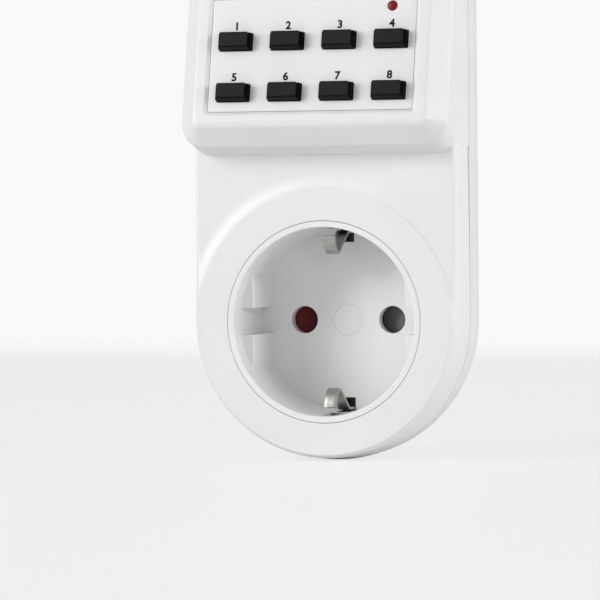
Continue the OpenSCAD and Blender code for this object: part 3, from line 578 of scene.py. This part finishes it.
def plugOutline():
    # a circle with flats at the sides, a rib across each flat, and pairs of points at the earth slots
    p = plug
    flatAngle = math.degrees(math.acos(p["flat"] / p["radius"]))
    slotAngle = math.degrees(math.acos(p["slotHalf"] / p["radius"]))
    quarter = [(p["ribX"], 0), (p["ribX"], p["ribZ"]), (p["flat"], p["ribZ"])]
    flatTop = p["flat"] * math.tan(math.radians(flatAngle))
    quarter += [(p["flat"], p["ribZ"] + (flatTop - p["ribZ"]) * t) for t in (0.33, 0.66, 1)]
    for a in np.linspace(flatAngle, slotAngle, 16)[1:]:
        quarter.append((p["radius"] * math.cos(math.radians(a)), p["radius"] * math.sin(math.radians(a))))
    full = quarter + [quarter[-1], (p["slotHalf"] / 2, p["radius"])]
    cut = quarter + [(p["slotHalf"], p["slotFloor"]), (p["slotHalf"] / 2, p["slotFloor"])]

    def wholeLoop(source):
        q = np.array(source)
        upper = np.concatenate([q, (q * [-1, 1])[::-1]])
        return np.concatenate([upper, upper * [-1, -1]])

    return wholeLoop(full), wholeLoop(cut)


def plugBody():
    # the outline carried back from the housing; the earth slots start behind the shoulder
    p = plug
    full, cut = plugOutline()
    rows = [atDepth(full, rear["back"] - p["root"]), atDepth(full, p["slotStart"]), atDepth(cut, p["slotStart"]),
            atDepth(cut, p["face"] - p["edge"])]
    for a in np.radians(np.linspace(0, 90, 6))[1:]:
        inset = p["edge"] * (1 - math.cos(a))
        rows.append(atDepth(insetOutline(cut, inset), p["face"] - p["edge"] * (1 - math.sin(a))))
    body = ringPiece("plugBody", rows, capFirst=True, capLast=True)
    bore = [(p["pinR"], p["face"] - p["pinSeat"]), (p["pinR"], p["face"] + p["cutPast"])]
    cutters = [turnedPiece("pinBore", bore, (side * p["pinX"], 0), 48) for side in (-1, 1)]
    return cutAway(body, cutters)


def plugPin(name, side):
    # a collar inside the plug, a neck, a straight shank and a tip rounded as a quarter ellipse
    s = pinShape
    neckR = s["radius"] - s["neck"]
    profile = [(s["collarR"], depth) for depth in s["collar"]]
    profile += [(neckR, s["collar"][1]), (neckR, s["neckEnd"])]
    profile += [(s["radius"], depth) for depth in s["shank"]]
    for a in np.radians(np.linspace(0, 88, 14)):
        profile.append((s["radius"] / 2 * (1 + math.cos(a)), s["end"] - s["tip"] + s["tip"] * math.sin(a)))
    return turnedPiece(name, profile, (side * plug["pinX"], 0), 64)


place(frontBody(), "housing", finish["housing"], ["front_housing"])
place(frontBlock(), "housing", finish["housing"], ["front_housing"])
place(rearShell(), "housing", finish["housing"], ["rear_housing"])
place(plugBody(), "housing", finish["housing"], ["plug_body"])
place(plugPin("leftPlugPin", -1), "housing", finish["pin"], ["neutral_pin"])
place(plugPin("rightPlugPin", 1), "housing", finish["pin"], ["live_pin"])
print("housings made")

# outlet insert

outlet = dict(lipR=20.57, mouthR=19.3, floorR=18.8, floor=17.0, floorT=2.2, cupR=20.3, lipEdge=0.06,
              lipBack=(3.4, 3.3), mouthRound=0.25, wallStart=2.5, landX=16.2, landLow=2.75, landHigh=9.45,
              landStart=4.0, landEdge=0.25, landFade=1.6, holeX=9.5, holeR=2.85, holeDeep=4, capSeatR=3.24,
              capSeatDeep=0.8, cutPast=1, slotHalf=1.45, slotCorner=0.05)
# height and depth of the openings for each clip: in the floor, high in the wall, low in the wall
clipSlots = (((16.1, 18.9), (16.5, 20)), ((17.5, 22), (2.5, 9.5)), ((17.5, 22), (12.0, 17.0)))
# where the painted slot shade goes: a margin beside each slot, the depth it starts at, the wall radius, and the
# height and depth of the floor slots
paintedShadeBoundsInSlots = dict(side=0.02, front=2.45, wall=19.4, low=16, floor=17.05)
middleCap = dict(radius=3.21, back=17.8, rim=17.06, edge=0.05, edgeR=3.16, flatR=1.5, front=17.01)


def outletOutline(radius, withLands, ease=0.0):
    # a circle whose points are paired so that four lands can stand in from it
    o = outlet
    low, high = o["landLow"], o["landHigh"]
    slotZ = np.linspace(0, low, 6)
    landZ = np.linspace(low, high, 26)
    wallX = np.sqrt(np.maximum(radius ** 2 - landZ ** 2, 0))
    fade = np.clip((landZ - (high - o["landFade"])) / o["landFade"], 0, 1) ** 2
    stand = np.minimum(wallX, o["landX"] + ease)
    landX = stand + (wallX - stand) * fade if withLands else wallX
    slot = np.stack([np.sqrt(radius ** 2 - slotZ ** 2), slotZ], -1)
    land = np.stack([landX, landZ], -1)
    angle = np.linspace(math.asin(high / radius), math.pi / 2, 40)[1:]
    arc = np.stack([radius * np.cos(angle), radius * np.sin(angle)], -1)
    quarter = np.concatenate([slot, land, arc])
    upper = np.concatenate([quarter, (quarter * [-1, 1])[::-1]])
    return np.concatenate([upper, upper * [-1, -1]])


def outletCup():
    # outside of the cup, lip, rounded mouth, tapering wall with the lands, and the floor
    o = outlet

    def ring(radius, depth):
        return atDepth(outletOutline(radius, False), depth)

    def wallRing(depth, withLands, ease=0.0):
        radius = o["mouthR"] + (o["floorR"] - o["mouthR"]) * depth / o["floor"]
        return atDepth(outletOutline(radius, withLands, ease), depth)

    rows = [ring(o["cupR"], o["floor"] + o["floorT"]), ring(o["cupR"], o["lipBack"][0]),
            ring(o["lipR"], o["lipBack"][1]), ring(o["lipR"], o["lipEdge"])]
    for a in np.radians((30, 60, 90)):
        rows.append(ring(o["lipR"] - o["lipEdge"] * (1 - math.cos(a)), o["lipEdge"] * (1 - math.sin(a))))
    for a in np.radians(np.linspace(0, 90, 9)):
        rows.append(ring(o["mouthR"] + o["mouthRound"] * (1 - math.sin(a)),
                         o["mouthRound"] * (1 - math.cos(a))))
    rows += [wallRing(depth, False) for depth in (o["wallStart"], o["landStart"])]
    for share in (1.0, 0.4, 0.0):
        rows.append(wallRing(o["landStart"] + o["landEdge"] * (1 - share), True, o["landEdge"] * share))
    rows += [wallRing(depth, True) for depth in np.linspace(o["landStart"], o["floor"], 9)[1:]]
    cup = ringPiece("outletCup", rows, capFirst=True, capLast=True, sharpAngle=28)
    start = o["floor"] - o["cutPast"]
    hole = [(o["holeR"], start), (o["holeR"], o["floor"] + o["holeDeep"])]
    cutters = [turnedPiece("pinHole", hole, (side * o["holeX"], 0), 72) for side in (-1, 1)]
    seat = [(o["capSeatR"], start), (o["capSeatR"], o["floor"] + o["capSeatDeep"])]
    cutters.append(turnedPiece("capSeat", seat, (0, 0), 72))
    for side in (-1, 1):
        for z, depth in clipSlots:
            low, high = sorted((side * z[0], side * z[1]))
            box = roundedOutline((-o["slotHalf"], o["slotHalf"]), (low, high),
                                 o["slotCorner"], o["slotCorner"], 2, 2, 2)
            cutters.append(ringPiece("clipSlot", [atDepth(box, depth[0]), atDepth(box, depth[1])], True, True))
    return cutAway(cup, cutters, 28)


def paintSlotShade(cup):
    # painted shade: the faces deep inside the clip slots get a dark colour in place of the shade that falls
    # there
    s = paintedShadeBoundsInSlots
    cup.data.materials.append(finish["paintedSlotShade"])
    for face in cup.data.polygons:
        x, y, z = face.center
        inSlot = abs(x) <= (outlet["slotHalf"] + s["side"]) * milli and y > rimY + s["front"] * milli
        inFloor = abs(z) > s["low"] * milli and y > rimY + s["floor"] * milli
        if inSlot and (abs(z) > s["wall"] * milli or inFloor):
            face.material_index = 1


def centreCap():
    # a flush disc with an eased rim
    m = middleCap
    rim = arcProfile((m["edgeR"], m["rim"]), m["edge"], 0, -90, 4)
    profile = [(m["radius"], m["back"]), (m["radius"], m["rim"])] + rim + [(m["flatR"], m["front"])]
    return turnedPiece("centreCap", profile, (0, 0), 72)


paintSlotShade(place(outletCup(), "housing", finish["outlet"], ["outlet_insert"]))
place(centreCap(), "housing", finish["outlet"], ["centre_cap"])

# earth clips

clip = dict(half=1.325, thickness=0.55, edge=0.12,
            path=((4.4, 17.6), (4.6, 16.6), (5.1, 15.5), (5.9, 14.6), (6.9, 14.1), (7.9, 14.35),
                  (12.4, 17.45), (13.3, 18.0), (14.2, 18.25), (19.6, 18.3)))


def easedPath(points, steps):
    # Catmull-Rom curve through the points
    p = np.array(points, float)
    p = np.concatenate([[2 * p[0] - p[1]], p, [2 * p[-1] - p[-2]]])
    t = np.linspace(0, 1, steps, endpoint=False)[:, None]
    out = []
    for a, b, c, d in zip(p, p[1:], p[2:], p[3:]):
        out.append(0.5 * (2 * b + (c - a) * t + (2 * a - 5 * b + 4 * c - d) * t ** 2
                          + (3 * b - a - 3 * c + d) * t ** 3))
    return np.concatenate(out + [p[-2:-1]])


def stripPiece(name, path, half, thickness, edge, upwards):
    # a flat strip's rounded section carried along a path of depth and height
    along = np.gradient(path, axis=0)
    along = along / np.linalg.norm(along, axis=-1, keepdims=True)
    normal = np.stack([-along[:, 1], along[:, 0]], -1)
    section = roundedOutline((-half, half), (-thickness / 2, thickness / 2), edge, edge, 3, 3, 3)
    centre = path[:, None, :] + normal[:, None, :] * section[None, :, 1:2]
    x = np.broadcast_to(section[None, :, 0], centre.shape[:2])
    rings = np.stack([x, centre[:, :, 0], upwards * centre[:, :, 1]], -1)
    return ringPiece(name, rings, capFirst=True, capLast=True, sharpAngle=40)


clipPath = easedPath(clip["path"], 6)
for clipName, side in (("upper", 1), ("lower", -1)):
    strip = stripPiece(clipName + "EarthClip", clipPath, clip["half"], clip["thickness"], clip["edge"], side)
    place(strip, clipName + "_clip", finish["nickel"], [clipName + "_earth_clip"])
print("outlet made")

# face plate, keys, light and display

plate = dict(half=21.65, low=-9.3, split=14.08, corners=(0.35, 0.3), top=-0.45, thick=0.7, edge=0.04,
             gap=0.17, holeCorner=0.35, lightGap=0.08)
cutThrough = [(-2, 0), (1, 0)]
keys = dict(middle=(0.15, -0.12), pitchX=11.0, pitchV=10.6, half=3.45, low=-1.77, high=1.72, out=1.65,
            ledge=(0.43, 0.6, 0.03), ledgeW=(0.68, 0.8), corner=0.35, topCorner=0.25, soft=0.09, flange=0.8,
            flangeCorner=0.3, flangeBack=-3.2, flangeFront=-2.4, middleCorner=0.2, dish=0.03, rootRound=0.02,
            # margins of the painted shade on the key sides: below the ledge, and in from the ends
            keySidePaintedShadeMargins=(0.03, 0.02))
keyNames = (("hour", "minute", "day", "clock"), ("program", "season", "mode", "reset"))
statusLight = dict(shift=-0.11, rise=6.91, radius=1.0, back=-5.5, out=-0.1, dome=0.35)


def keyCentre(column, row):
    x, v = keys["middle"]
    return (x + (column - 1.5) * keys["pitchX"], v + (0.5 - row) * keys["pitchV"])


def keyOutline(centre, growX, growLow, growHigh, corner):
    half = keys["half"] + growX
    return roundedOutline((centre[0] - half, centre[0] + half),
                          (centre[1] + keys["low"] - growLow, centre[1] + keys["high"] + growHigh),
                          corner, corner, 6, 6, 4)


def keyCap(name, centre):
    # flange, upright sides, a ledge that is wide below and narrow above, and the raised top,
    # with each edge slightly rounded
    k = keys
    flange = keyOutline(centre, *(k["flange"],) * 3, k["flangeCorner"])
    foot = keyOutline(centre, 0, 0, 0, k["corner"])
    top = keyOutline(centre, *(-t for t in k["ledge"]), k["topCorner"])
    middle = keyOutline(centre, -k["half"] / 2, -k["high"] / 2, -k["high"] / 2, k["middleCorner"])
    rows = [onPanel(flange, k["flangeBack"]), onPanel(flange, k["flangeFront"]),
            onPanel(foot, k["flangeFront"]), onPanel(foot, 0)]
    side, root = onPanel(foot, k["ledgeW"][0]), onPanel(top, k["ledgeW"][1])
    crown, inner = onPanel(top, k["out"]), onPanel(middle, k["out"] - k["dish"])
    rows += filletRows(rows[-1], side, root, k["rootRound"], 4) + [root]
    rows += filletRows(root, crown, inner, k["soft"], 5)
    return ringPiece(name, rows + [inner], capFirst=True, capLast=True)


def finishKeySidesAndPaintShade(cap, centre):
    # the sides and the ends get a smoother, duller finish of the key's own, and their darker black is painted
    # shade for the dark gap round the key's foot; the top and its lower ledge are grained
    cap.data.materials.append(finish["keySideFinishAndShade"])
    lower, inner = keys["keySidePaintedShadeMargins"]
    topHalf = keys["half"] - keys["ledge"][0]
    for face in cap.data.polygons:
        depth = (face.center.y - rimY) / milli - panel["depth"]
        z = face.center.z / milli - panel["middle"]
        height = z * panelSin - depth * panelCos
        if height < keys["ledgeW"][0] - lower or abs(face.center.x / milli - centre[0]) > topHalf - inner:
            face.material_index = 1


def lightCentre():
    column = keyCentre(3, 0)
    return (column[0] + statusLight["shift"], column[1] + statusLight["rise"])


def facePlate():
    # a thin plate with an opening for each key and one for the light
    p = plate
    top, edge = p["top"], p["edge"]
    outline = roundedOutline((-p["half"], p["half"]), (p["low"], p["split"]), *p["corners"], 6, 6, 6)
    levels = [(top - p["thick"], 0), (top - edge, 0), (top - edge * 0.3, edge * 0.3), (top, edge)]
    sheet = panelPiece("facePlate", outline, levels)
    cutters = []
    for row in range(2):
        for column in range(4):
            hole = keyOutline(keyCentre(column, row), *(p["gap"],) * 3, p["holeCorner"])
            cutters.append(panelPiece("keyHole", hole, cutThrough))
    hole = circle(lightCentre(), statusLight["radius"] + p["lightGap"], 40)
    cutters.append(panelPiece("lightHole", hole, cutThrough))
    return cutAway(sheet, cutters, 25)


place(facePlate(), "housing", finish["plate"], ["face_plate"])
for row, rowNames in enumerate(keyNames):
    for column, keyName in enumerate(rowNames):
        centre = keyCentre(column, row)
        cap = keyCap(keyName + "Cap", centre)
        finishKeySidesAndPaintShade(place(cap, keyName + "_key", finish["key"], [keyName + "_key"]), centre)


def statusLens():
    # a straight barrel with a low dome
    s = statusLight
    levels = [(s["back"], 0), (s["out"] - s["dome"], 0)]
    for a in np.radians(np.linspace(10, 80, 8)):
        levels.append((s["out"] - s["dome"] + s["dome"] * math.sin(a), s["radius"] * (1 - math.cos(a))))
    return panelPiece("statusLens", circle(lightCentre(), s["radius"], 40), levels)


place(statusLens(), "housing", finish["light"], ["status_light"])


def textPiece(name, text, size, centre, height, bold, thickness=0.02):
    # plain figures, made a mesh and then laid on the panel
    curve = bpy.data.curves.new(name, "FONT")
    curve.body = text
    curve.size = size
    curve.align_x = "CENTER"
    curve.align_y = "CENTER"
    curve.extrude = thickness / 2
    curve.offset = bold
    curve.resolution_u = 4
    source = addObject(name, curve)
    bpy.context.view_layer.update()
    mesh = bpy.data.meshes.new_from_object(source.evaluated_get(bpy.context.evaluated_depsgraph_get()))
    bpy.data.objects.remove(source)
    flat = np.zeros(len(mesh.vertices) * 3)
    mesh.vertices.foreach_get("co", flat)
    flat = flat.reshape(-1, 3)
    placed = onPanel(flat[:, :2] + np.array(centre), flat[:, 2] + height)
    mesh.vertices.foreach_set("co", toRow(placed).ravel())
    mesh.update()
    return addObject(name, mesh)


label = dict(size=2.25, rise=3.22, bold=0.085)
labels = []
for row in range(2):
    for column in range(4):
        centre = keyCentre(column, row)
        figure = str(row * 4 + column + 1)
        above = (centre[0], centre[1] + label["rise"])
        labels.append(textPiece("label" + figure, figure, label["size"], above, plate["top"], label["bold"]))
marks = joinPieces("keyFigures", labels)
marks.data.materials.append(finish["print"])
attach(marks, "housing")

# edge: how far below the front and how far in; border: its inset and its depths behind the pane
pane = dict(half=21.65, low=14.2, high=38.8, corners=(0.3, 1.2), back=-1.1, front=-0.4,
            edge=((0.06, 0), (0.02, 0.03), (0, 0.08)), sightHalf=18.8, sightLow=18.0, sightHigh=35.2,
            sightCorner=0.8, borderIn=0.05, borderDepths=(0.049, 0.01))


def displayPane():
    # an upright edge that turns into the flat front in two short slopes
    outline = roundedOutline((-pane["half"], pane["half"]), (pane["low"], pane["high"]),
                             *pane["corners"], 6, 6, 6)
    levels = [(pane["back"], 0)] + [(pane["front"] - down, inset) for down, inset in pane["edge"]]
    return panelPiece("displayPane", outline, levels)


def displayBorder():
    # the dark printed frame under the pane
    inset, corner = pane["borderIn"], pane["sightCorner"]
    outer = roundedOutline((-pane["half"] + inset, pane["half"] - inset),
                           (pane["low"] + inset, pane["high"] - inset), *pane["corners"], 6, 6, 6)
    inner = roundedOutline((-pane["sightHalf"], pane["sightHalf"]), (pane["sightLow"], pane["sightHigh"]),
                           corner, corner, 6, 6, 6)
    low, high = (pane["back"] - depth for depth in pane["borderDepths"])
    rings = [onPanel(outer, low), onPanel(outer, high), onPanel(inner, high), onPanel(inner, low)]
    return ringPiece("displayBorder", rings, closeRows=True)


digits = dict(places=(("1", -11.5), ("2", -5.2), ("0", 2.6), ("0", 8.9)), middle=26.2, halfW=1.9, halfH=3.9,
              thick=0.42, endGap=0.18, dotX=-1.3, dotV=(24.4, 28.0), dotR=0.45, levels=[(-2.29, 0), (-2.25, 0)])


def segmentDigits():
    # a clock face of seven segment figures, each segment a slim bar with pointed ends
    lit = {"0": "abcdef", "1": "bc", "2": "abged"}
    spots = dict(a=(0, 1, 0), g=(0, 0, 0), d=(0, -1, 0), f=(-1, 0.5, 1), b=(1, 0.5, 1), e=(-1, -0.5, 1),
                 c=(1, -0.5, 1))
    halfW, halfH, thick = digits["halfW"], digits["halfH"], digits["thick"]
    pieces = []
    for figure, x in digits["places"]:
        for letter in lit[figure]:
            sx, sv, upright = spots[letter]
            middle = np.array([x + sx * halfW, digits["middle"] + sv * halfH])
            length = (halfH if upright else 2 * halfW) / 2 - digits["endGap"]
            bar = np.array([(-length, 0), (-length + thick, -thick), (length - thick, -thick), (length, 0),
                            (length - thick, thick), (-length + thick, thick)])
            bar = bar[:, ::-1] * [-1, 1] if upright else bar
            pieces.append(panelPiece("segment", middle + bar, digits["levels"]))
    for v in digits["dotV"]:
        pieces.append(panelPiece("segment", circle((digits["dotX"], v), digits["dotR"], 20), digits["levels"]))
    return joinPieces("displayFigures", pieces)


place(displayPane(), "housing", finish["pane"], ["display_window"])
place(displayBorder(), "housing", finish["print"])
place(segmentDigits(), "housing", finish["print"])
print("panel made")

# inner pieces: the shutter springs and the key mat with its domes, placed on the housing

for side, sign in (("left", -1), ("right", 1)):
    coil = smoothCopy(side + "_shutter_spring", side + "Coil", 60)
    place(coil, "housing", finish["steel"], [side + "_shutter_spring"])
    coil.modifiers.clear()
    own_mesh(coil)

matSheet = dict(half=20.8, v=10.4, corner=1, back=-5.5, front=-4.9, domeTop=-3.25, domeR=2.1, press=1.0)
sheetOutline = roundedOutline((-matSheet["half"], matSheet["half"]), (-matSheet["v"], matSheet["v"]),
                              matSheet["corner"], matSheet["corner"], 5, 5, 4)
matPiece = panelPiece("keyMatSheet", sheetOutline, [(matSheet["back"], 0), (matSheet["front"], 0)])
place(matPiece, "housing", finish["rubber"], ["key_mat"])
for row, rowNames in enumerate(keyNames):
    for column, keyName in enumerate(rowNames):
        centre = keyCentre(column, row)
        levels = [(matSheet["front"], -0.4), (matSheet["front"] + 0.5, 0.2), (matSheet["domeTop"] - 0.2, 0.6),
                  (matSheet["domeTop"], 0.8)]
        dome = panelPiece(keyName + "Dome", circle(centre, matSheet["domeR"], 32), levels)
        place(dome, "housing", finish["rubber"], ["key_mat"])
        dome.modifiers.clear()
        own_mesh(dome)
print("inner pieces made")

# floor, light and camera

stage = dict(near=-1.6, far=0.72, half=3.0, colour=(0.91, 0.91, 0.91), plain=0.78, plainTone=0.94,
             background=0.945, ambient=0.31, fade=(0.42, 0.72), lightAim=(0, -0.04, 0.02), lightAway=1.4)
# turn to the right of straight ahead, height angle, side of the square, power
softLights = dict(leftLight=(-50, 12, 0.5, 6.7), highLeftLight=(-40, 28, 0.5, 4.7),
                  nearRightLight=(30, 12, 0.25, 1.5), rightLight=(80, 12, 0.5, 7.5),
                  farRightLight=(135, 12, 0.5, 4.0))


def softLight(name, turn, height, side, power):
    # a square lamp on a sphere round the object, aimed at its middle
    lamp = bpy.data.lights.new(name, "AREA")
    lamp.shape = "SQUARE"
    lamp.size = side
    lamp.energy = power
    source = addObject(name, lamp)
    turn, height = math.radians(turn), math.radians(height)
    outwards = Vector((math.sin(turn) * math.cos(height), -math.cos(turn) * math.cos(height),
                       math.sin(height)))
    source.location = Vector(stage["lightAim"]) + outwards * stage["lightAway"]
    source.rotation_euler = outwards.to_track_quat("Z", "Y").to_euler()


def floorMaterial():
    # pale table that fades into the background at its far edge
    material, tree, shader = startMaterial("paleTable")
    grain = objectNoise(tree, 9, 3.0)
    c = stage["colour"]
    tree.links.new(colourRamp(tree, grain.outputs["Fac"], [v * 0.985 for v in c], [v * 1.01 for v in c]),
                   shader.inputs["Base Color"])
    shader.inputs["Roughness"].default_value = 0.55
    coordinates = newNode(tree, "TexCoord")
    split = newNode(tree, "SeparateXYZ")
    fade = newNode(tree, "MapRange")
    fade.interpolation_type = "SMOOTHSTEP"
    fade.inputs["From Min"].default_value, fade.inputs["From Max"].default_value = stage["fade"]
    glow = newNode(tree, "Emission")
    glow.inputs["Color"].default_value = (stage["background"],) * 3 + (1,)
    mix = newNode(tree, "MixShader")
    path = newNode(tree, "LightPath")
    seen = newNode(tree, "Math")
    seen.operation = "MULTIPLY"
    seen.inputs[1].default_value = stage["plain"]
    plain = newNode(tree, "Emission")
    plain.inputs["Color"].default_value = (stage["plainTone"],) * 3 + (1,)
    soften = newNode(tree, "MixShader")
    tree.links.new(path.outputs["Is Camera Ray"], seen.inputs[0])
    tree.links.new(seen.outputs["Value"], soften.inputs["Fac"])
    tree.links.new(shader.outputs["BSDF"], soften.inputs[1])
    tree.links.new(plain.outputs["Emission"], soften.inputs[2])
    tree.links.new(coordinates.outputs["Object"], split.inputs["Vector"])
    tree.links.new(split.outputs["Y"], fade.inputs["Value"])
    tree.links.new(fade.outputs["Result"], mix.inputs["Fac"])
    tree.links.new(soften.outputs["Shader"], mix.inputs[1])
    tree.links.new(glow.outputs["Emission"], mix.inputs[2])
    tree.links.new(mix.outputs["Shader"], tree.nodes["Material Output"].inputs["Surface"])
    return material


def makeFloor():
    # a wide flat table under the housing's lowest point
    half, near, far = stage["half"], stage["near"], stage["far"]
    corners = [(-half, near, footZ), (half, near, footZ), (half, far, footZ), (-half, far, footZ)]
    mesh = bpy.data.meshes.new("table")
    mesh.from_pydata(corners, [], [(0, 1, 2, 3)])
    mesh.materials.append(floorMaterial())
    addObject("table", mesh)


def makeWorld():
    world = bpy.data.worlds.new("studio")
    scene.world = world
    world.use_nodes = True
    tree = world.node_tree
    seen = tree.nodes["Background"]
    seen.inputs["Color"].default_value = (stage["background"],) * 3 + (1,)
    lighting = newNode(tree, "Background")
    lighting.inputs["Color"].default_value = (1, 1, 1, 1)
    lighting.inputs["Strength"].default_value = stage["ambient"]
    path = newNode(tree, "LightPath")
    either = newNode(tree, "Math")
    either.operation = "MAXIMUM"
    mix = newNode(tree, "MixShader")
    tree.links.new(path.outputs["Is Camera Ray"], either.inputs[0])
    tree.links.new(path.outputs["Is Transmission Ray"], either.inputs[1])
    tree.links.new(either.outputs["Value"], mix.inputs["Fac"])
    tree.links.new(lighting.outputs["Background"], mix.inputs[1])
    tree.links.new(seen.outputs["Background"], mix.inputs[2])
    tree.links.new(mix.outputs["Shader"], tree.nodes["World Output"].inputs["Surface"])


# seen from its right and slightly above, level but for half a degree of roll
view = dict(azimuth=18.28, elevation=1.30, roll=-0.53, place=(0.27381, -0.88878, 0.024655), lens=261.54,
            sensor=36, nearest=0.05, farthest=50)


def makeCamera():
    azimuth = math.radians(view["azimuth"])
    elevation = math.radians(view["elevation"])
    roll = math.radians(view["roll"])
    back = Vector((math.sin(azimuth) * math.cos(elevation), -math.cos(azimuth) * math.cos(elevation),
                   math.sin(elevation)))
    right = Vector((math.cos(azimuth), math.sin(azimuth), 0))
    up = back.cross(right)
    across = right * math.cos(roll) + up * math.sin(roll)
    upright = up * math.cos(roll) - right * math.sin(roll)
    data = bpy.data.cameras.new("camera")
    data.lens = view["lens"]
    data.sensor_width = view["sensor"]
    data.clip_start = view["nearest"]
    data.clip_end = view["farthest"]
    camera = addObject("camera", data)
    at = Vector(view["place"])
    camera.matrix_world = Matrix(((across.x, upright.x, back.x, at.x), (across.y, upright.y, back.y, at.y),
                                  (across.z, upright.z, back.z, at.z), (0, 0, 0, 1)))
    scene.camera = camera


makeFloor()
makeWorld()
for lightName, setting in softLights.items():
    softLight(lightName, *setting)
makeCamera()
scene.view_settings.view_transform = "Standard"
print("stage set")
